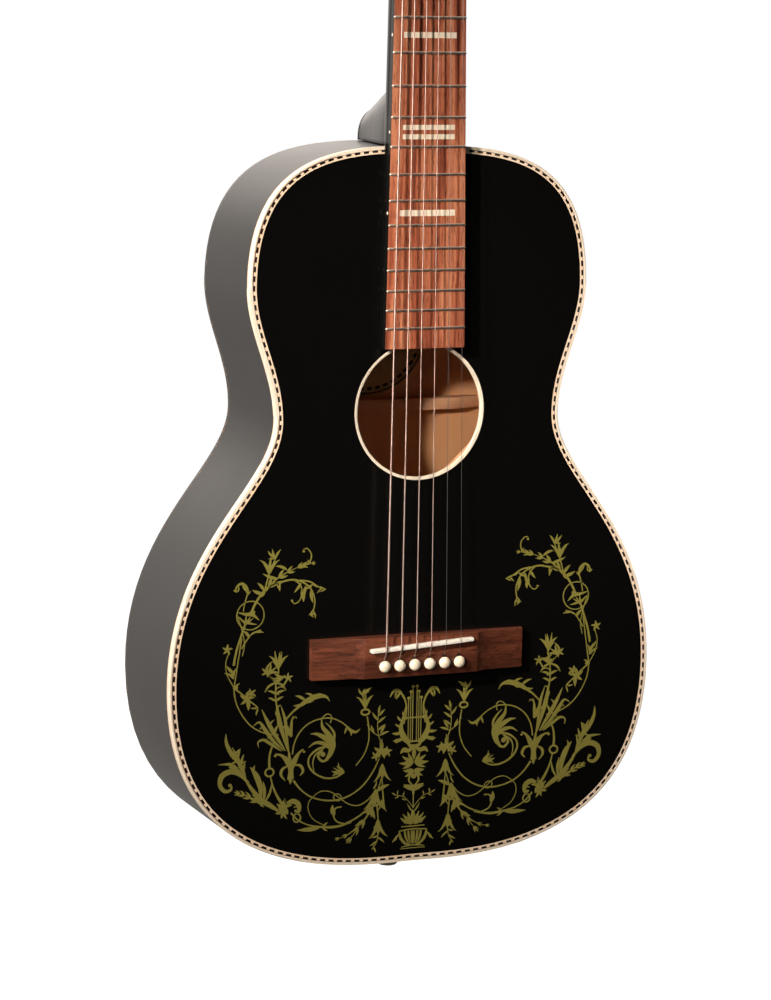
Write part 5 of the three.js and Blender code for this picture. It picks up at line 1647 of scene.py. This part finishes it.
def paint_lower_branch(b):
    """The branch at the lower edge of the bout."""
    b.stem([(101, -394), (103.4, -399), (104.4, -405), (104.2, -411)], 0.6, 1.0)
    b.ring(104.2, -414, 3.0, 0.75, 0.9)
    b.stem([(103.4, -417), (101.6, -424), (98.4, -431), (94.6, -437)], 0.5, 1.2)
    b.rose(93.6, -438.6, 5.6, 15)
    b.rose(95, -441.6, 4.6, 50)
    b.leaf(94, -441, -100, 6.6, 1.4, -0.6)
    b.leaf(92.4, -436, 70, 3.4, 1.0, 0.2)
    b.swell([(91.6, -436.4), (87.6, -435), (83.4, -437.4), (83, -442), (86, -444)], [1.2, 2.4, 2.4, 1.7, 0.5])
    b.curl(86.6, -439.4, 160, 2.4, 0.7, 1, 0.5, 0.4, 1.0)
    b.swell([(97.6, -441), (103, -437), (109.6, -432.6), (116, -425.4), (121, -418)],
            [1.0, 2.2, 2.6, 1.9, 0.9])
    b.swell([(108, -433.4), (107.6, -426), (108.6, -420)], [0.8, 1.5, 0.3])
    b.swell([(107, -434), (103.8, -428), (102.6, -422)], [0.6, 1.1, 0.2])
    b.swell([(110, -432), (110.6, -423.6), (113.6, -415.4), (117.8, -409.4)], [0.8, 2.5, 2.6, 0.3])
    b.leaf(116, -414, 96, 6, 1.2, 0.4)
    b.stem([(119, -420), (126, -412.6), (132.6, -408)], 1.0, 0.8)
    b.swell([(121, -418), (123, -411), (126.4, -405), (131, -399.4), (134.6, -392), (135, -385.6)],
            [0.9, 1.6, 1.9, 2.2, 1.6, 0.25])
    b.swell([(122, -417), (127, -410.4), (131.6, -406.6), (140.4, -406)], [0.7, 1.5, 1.6, 0.2])
    b.swell([(124, -412), (126.4, -403.6), (130.6, -395)], [0.8, 1.8, 0.2])
    for x, z, angle, long in ((127, -404, 100, 8), (124.6, -409, 98, 9), (122.4, -412, 92, 7),
                              (129, -400.6, 128, 6), (131, -406, 158, 6.4), (133.6, -406.6, 196, 6),
                              (126, -407.6, 148, 6)):
        b.leaf(x, z, angle, long, long * 0.15, 0.3)
    b.swell([(119.6, -419.6), (125, -413.6), (131.6, -411.4), (137.6, -414), (139, -420), (135.6, -424.4),
             (131.4, -423.8), (131, -421)], [0.8, 2.4, 2.6, 2.7, 2.1, 1.9, 1.3, 0.8])
    b.dot(132, -420.6, 1.3)
    b.leaf(132, -411, 150, 7, 1.2, 0.5)
    b.spray([(109, -433), (115.6, -431), (121.4, -428.2), (125, -427)], 7.4, 4, 0.9, 0.19, 36, 0.3)
    b.leaf(114, -432, 224, 6, 1.2, -0.5)
    b.leaf(118, -430.6, 208, 6, 1.1, -0.5)
    b.leaf(111, -434, 236, 4.6, 1.1, -0.4)


def paint_middle(b):
    """The lyre, the blossoms beneath it, the sprig and the basket, drawn to the middle line."""
    for x, top in ((1.5, -362.6), (4.6, -370.4)):
        b.stem([(x, top - 0.6), (x, -400)], 0.34, 0.34, 2)
        b.dot(x, top, 1.15)
    b.stem([(3.0, -365.8), (3.0, -400)], 0.3, 0.3, 2)
    b.dot(3.0, -366, 1.0)
    b.swell([(0, -384), (6, -384)], [0.75, 0.75], 2)
    b.dot(6.8, -384, 1.4)
    b.swell([(0, -400.4), (5.4, -400.4)], [0.9, 0.8], 2)
    b.stem([(8, -388), (6.4, -381), (6.4, -374.6), (8.8, -368.4), (13, -365)], 0.5, 0.8)
    b.swell([(8, -370.4), (11.4, -365), (15.6, -364.8), (18.2, -368.8)], [0.4, 1.3, 1.4, 0.3])
    b.leaf(11, -366.4, -48, 5, 1.1, -0.5)
    b.leaf(13.6, -365.4, -70, 4.8, 0.9, -0.5)
    b.swell([(6.4, -376), (8.6, -384), (10, -391), (7.4, -397.6), (3, -401.6)], [0.5, 1.0, 2.2, 3.0, 2.0])
    for x, z, angle, long in ((9.6, -386, 40, 5), (10, -390, 20, 5), (9.6, -394, -10, 7), (8, -398, -20, 8),
                              (7.6, -383, 60, 4)):
        b.leaf(x, z, angle, long, long * 0.22, 0.5)
    b.dot(13, -399.4, 1.6)
    b.swell([(0, -404), (3, -403.4), (5.4, -401)], [1.8, 1.6, 0.6])
    b.swell([(1, -404), (4, -406.6), (7.6, -406), (10, -408.4)], [1.6, 1.9, 2.2, 0.4])
    b.swell([(0, -405), (0, -409), (0, -412)], [1.0, 1.9, 0.8])
    for angle, long in ((22, 9.5), (-8, 10.5), (-34, 9), (52, 8)):
        b.leaf(0.4, -415, angle, long, long * 0.19, 0.35)
    b.leaf(0, -413, 90, 6, 1.3, 0)
    b.leaf(0.4, -420, -14, 7.4, 1.9, 0.5)
    b.leaf(0.4, -420, -50, 8, 1.6, 0.6)
    b.swell([(0, -421), (3, -424.4), (3.4, -428), (0.6, -431)], [0.9, 1.0, 0.8, 0.5])
    b.dot(0, -424.6, 2.0)
    b.swell([(0, -432), (4, -431.4), (7.4, -430.2)], [1.6, 1.6, 0.25])
    b.leaf(0.3, -434.6, 30, 8, 1.5, -0.3)
    b.leaf(0, -432, -90, 7, 1.3, 0)
    b.stem([(0, -436), (0, -447)], 0.32, 0.4, 3)
    b.stem([(0, -446.6), (3.6, -442), (7.6, -438.4), (13.4, -437)], 0.3, 0.25)
    for x, z, angle in ((7.6, -438.4, 100), (10.4, -437.6, -30), (12, -437.2, 96), (5.4, -441, 20),
                        (13, -437, 30)):
        b.leaf(x, z, angle, 3.6, 0.7, 0.2)
    b.leaf(0.4, -449.6, 50, 7.4, 0.8, 0.3)
    # The basket.
    for angle, long in ((90, 10), (66, 9.6), (44, 10.4), (24, 9.6)):
        b.leaf(0.6, -458, angle, long, long * 0.17, 0.1)
    b.leaf(5.4, -457.6, 60, 6, 1.2, -0.5)
    b.swell([(0, -459.4), (8.6, -459.4)], [0.7, 0.5], 2)
    b.swell([(0, -461.4), (9.8, -462.2)], [0.8, 0.6], 2)
    b.swell([(10, -462), (9, -467), (5.4, -471.4), (2, -472.6)], [0.6, 1.4, 1.2, 0.8])
    for x in (0.8, 3.4, 6):
        b.swell([(x, -462.6), (x * 0.86, -467), (x * 0.5, -471.6)], [0.9, 1.1, 0.5])
    b.swell([(9.6, -464), (12.4, -466.6), (15, -469.6)], [0.7, 1.0, 0.3])
    b.leaf(11.6, -466, -60, 4, 0.9, 0.4)
    b.swell([(0, -472.6), (8.4, -473.6)], [0.6, 0.4], 2)
    b.swell([(0, -474.6), (9, -474.8)], [0.5, 0.35], 2)


class GUITAR_OT_ornament(bpy.types.Operator):
    """Symmetrical painted scrollwork on the lower bout, of a generic neoclassical kind"""
    bl_idname = "guitar.add_ornament"
    bl_label = "Painted ornament"
    bl_options = {"REGISTER", "UNDO"}

    def execute(self, context):
        paint = ornament_paint()
        for name, draw in (("upper_scroll", paint_upper_scroll), ("middle_plant", paint_middle_plant),
                           ("round_scrolls", paint_scrolls), ("lower_branch", paint_lower_branch),
                           ("lyre_and_basket", paint_middle)):
            brush = Brush()
            draw(brush)
            bm = bmesh.new()
            # Strokes that cross have slightly different heights, so that no two faces lie in one plane.
            for layer in range(12):
                strokes = brush.strokes[layer::12]
                paths = [[(sign * x, 0, z, w) for x, z, w in stroke] for stroke in strokes for sign in (1,
                                                                                                        -1)]
                if not paths:
                    continue
                part = wire(paths, 1.0, 1)
                height = context.scene.guitar_sizes.film / MM + 0.012 * layer
                for vert in part.verts:
                    vert.co.y = -height if vert.co.y < -1e-6 else (0.2 if vert.co.y > 1e-6 else 0.0)
                mesh = bpy.data.meshes.new("film")
                part.to_mesh(mesh)
                part.free()
                bm.from_mesh(mesh)
                bpy.data.meshes.remove(mesh)
            finish_piece(f"painted_{name}", bm, [paint], angle=80)
        return {"FINISHED"}


# ---------------------------------------------------------------- stage

class GUITAR_OT_stage(bpy.types.Operator):
    """Pale floor, soft studio light and the camera"""
    bl_idname = "guitar.add_stage"
    bl_label = "Stage"
    bl_options = {"REGISTER", "UNDO"}

    def execute(self, context):
        scene = context.scene
        scene.view_settings.view_transform = "Standard"
        scene.view_settings.look = "None"
        self.camera(scene)
        self.floor(scene)
        self.world(scene)
        self.lights(scene)
        return {"FINISHED"}

    def camera(self, scene):
        data = bpy.data.cameras.new("studio_camera")
        data.lens = 114.9
        data.sensor_width = 36
        data.clip_end = 50
        view = bpy.data.objects.new("studio_camera", data)
        scene.collection.objects.link(view)
        azimuth, elevation, roll = (math.radians(a) for a in (-22.29, 8.81, 0.832))
        across = Vector((math.cos(azimuth), math.sin(azimuth), 0))
        back = Vector((math.sin(azimuth) * math.cos(elevation), -math.cos(azimuth) * math.cos(elevation),
                       math.sin(elevation)))
        up = back.cross(across)
        right = across * math.cos(roll) + up * math.sin(roll)
        top = up * math.cos(roll) - across * math.sin(roll)
        turned = Matrix((right, top, back)).transposed().to_4x4()
        view.matrix_world = Matrix.Translation((-0.8202, -1.9882, 0.5887)) @ turned
        scene.camera = view

    def floor(self, scene):
        bm = bmesh.new()
        bmesh.ops.create_grid(bm, x_segments=1, y_segments=1, size=6)
        bmesh.ops.translate(bm, vec=(0, 0, -0.75), verts=bm.verts)
        mesh = bpy.data.meshes.new("pale_floor")
        bm.to_mesh(mesh)
        bm.free()
        material, _, shader = start_material("white_paper_roll")
        if shader:
            set_values(shader, Base_Color=linear("#FAFAFA"), Roughness=0.9, Emission_Color=linear("#FFFFFF"),
                       Emission_Strength=1.0)
        mesh.materials.append(material)
        floor = bpy.data.objects.new("pale_floor", mesh)
        scene.collection.objects.link(floor)
        floor.visible_glossy = False
        floor.visible_diffuse = False

    def world(self, scene):
        """White to the eye and dim as fill light, but reflections see it bright behind and dark in front."""
        world = bpy.data.worlds.new("white_studio")
        scene.world = world
        world.use_nodes = True
        tree = world.node_tree
        tree.nodes.clear()
        path = node(tree, "ShaderNodeLightPath")
        place = node(tree, "ShaderNodeTexCoord").outputs["Generated"]
        height = node(tree, "ShaderNodeSeparateXYZ", None, {"Vector": place}).outputs["Z"]
        towards_front = (0.39, -0.91, -0.15)
        front = node(tree, "ShaderNodeVectorMath", {"operation": "DOT_PRODUCT"}, {0: place, 1: towards_front})
        around = node(tree, "ShaderNodeMapRange", {"interpolation_type": "SMOOTHSTEP"},
                      {"Value": front.outputs["Value"], "From Min": -0.05, "From Max": 0.6,
                       "To Min": 1.0, "To Max": 0.004})
        above = node(tree, "ShaderNodeMapRange", {"interpolation_type": "SMOOTHSTEP"},
                     {"Value": height, "From Min": -0.6, "From Max": 0.6, "To Min": 0.4, "To Max": 1.25})
        both = node(tree, "ShaderNodeMath", {"operation": "MULTIPLY"},
                    {0: around.outputs["Result"], 1: above.outputs["Result"]})
        strength = node(tree, "ShaderNodeMix", {"data_type": "FLOAT"},
                        {0: path.outputs["Is Glossy Ray"], 2: 0.05, 3: both.outputs[0]})
        seen = node(tree, "ShaderNodeMix", {"data_type": "FLOAT"},
                    {0: path.outputs["Is Camera Ray"], 2: strength.outputs[0], 3: 1.0})
        tint = node(tree, "ShaderNodeMix", {"data_type": "RGBA"},
                    {0: path.outputs["Is Camera Ray"], 6: linear("#FFF6EE"), 7: (1, 1, 1, 1)})
        output = node(tree, "ShaderNodeOutputWorld")
        node(tree, "ShaderNodeBackground", None, {"Color": tint.outputs[2], "Strength": seen.outputs[0]},
             {"Background": output.inputs["Surface"]})

    def lights(self, scene):
        for name, place, size, power, aimed_at in (
                ("raking_key", (-2.3, -1.25, 1.6), 0.13, 138, (0, 0, 0.35)),
                ("shoulder_light", (0.1, 2.4, 1.55), 1.8, 9, (0, 0, 0.35)),
                ("hole_snoot", (-1.74, -1.88, 1.02), 0.2, 1350, (0, -0.045, 0.322))):
            narrow = name == "hole_snoot"
            data = bpy.data.lights.new(name, "SPOT" if narrow else "AREA")
            if narrow:
                data.spot_size = math.radians(3.6)
                data.spot_blend = 0.35
                data.shadow_soft_size = size
            else:
                data.shape = "SQUARE"
                data.size = size
            data.energy = power
            data.color = linear("#FFF4EA")[:3]
            lamp = bpy.data.objects.new(name, data)
            scene.collection.objects.link(lamp)
            lamp.location = place
            lamp.visible_glossy = not narrow
            aim = Vector(aimed_at) - Vector(place)
            lamp.rotation_euler = aim.to_track_quat("-Z", "Y").to_euler()


# ---------------------------------------------------------------- panel and start

OPERATORS = (
    GUITAR_OT_top, GUITAR_OT_hole_ring, GUITAR_OT_back, GUITAR_OT_sides, GUITAR_OT_bindings, GUITAR_OT_rope,
    GUITAR_OT_bridge, GUITAR_OT_saddle, GUITAR_OT_pins, GUITAR_OT_strings, GUITAR_OT_board, GUITAR_OT_frets,
    GUITAR_OT_marks, GUITAR_OT_neck, GUITAR_OT_heel_cap, GUITAR_OT_nut, GUITAR_OT_headplate, GUITAR_OT_tuners,
    GUITAR_OT_end_pin, GUITAR_OT_inside, GUITAR_OT_ornament, GUITAR_OT_stage,
)


class GUITAR_PT_sidebar(bpy.types.Panel):
    bl_idname = "GUITAR_PT_sidebar"
    bl_label = "Parlour Guitar"
    bl_space_type = "VIEW_3D"
    bl_region_type = "UI"
    bl_category = "Guitar"

    def draw(self, context):
        column = self.layout.column(align=True)
        for group in (context.scene.guitar_sizes, context.scene.guitar_colours):
            for name in group.__annotations__:
                column.prop(group, name)
        for operator in OPERATORS:
            column.operator(operator.bl_idname)


CLASSES = (GuitarSizes, GuitarColours, *OPERATORS, GUITAR_PT_sidebar)


def register():
    for cls in CLASSES:
        bpy.utils.register_class(cls)
    bpy.types.Scene.guitar_sizes = bpy.props.PointerProperty(type=GuitarSizes)
    bpy.types.Scene.guitar_colours = bpy.props.PointerProperty(type=GuitarColours)


def unregister():
    del bpy.types.Scene.guitar_colours
    del bpy.types.Scene.guitar_sizes
    for cls in reversed(CLASSES):
        bpy.utils.unregister_class(cls)


def main():
    register()
    for operator in OPERATORS:
        group, name = operator.bl_idname.split(".")
        getattr(getattr(bpy.ops, group), name)()


if __name__ == "__main__":
    main()
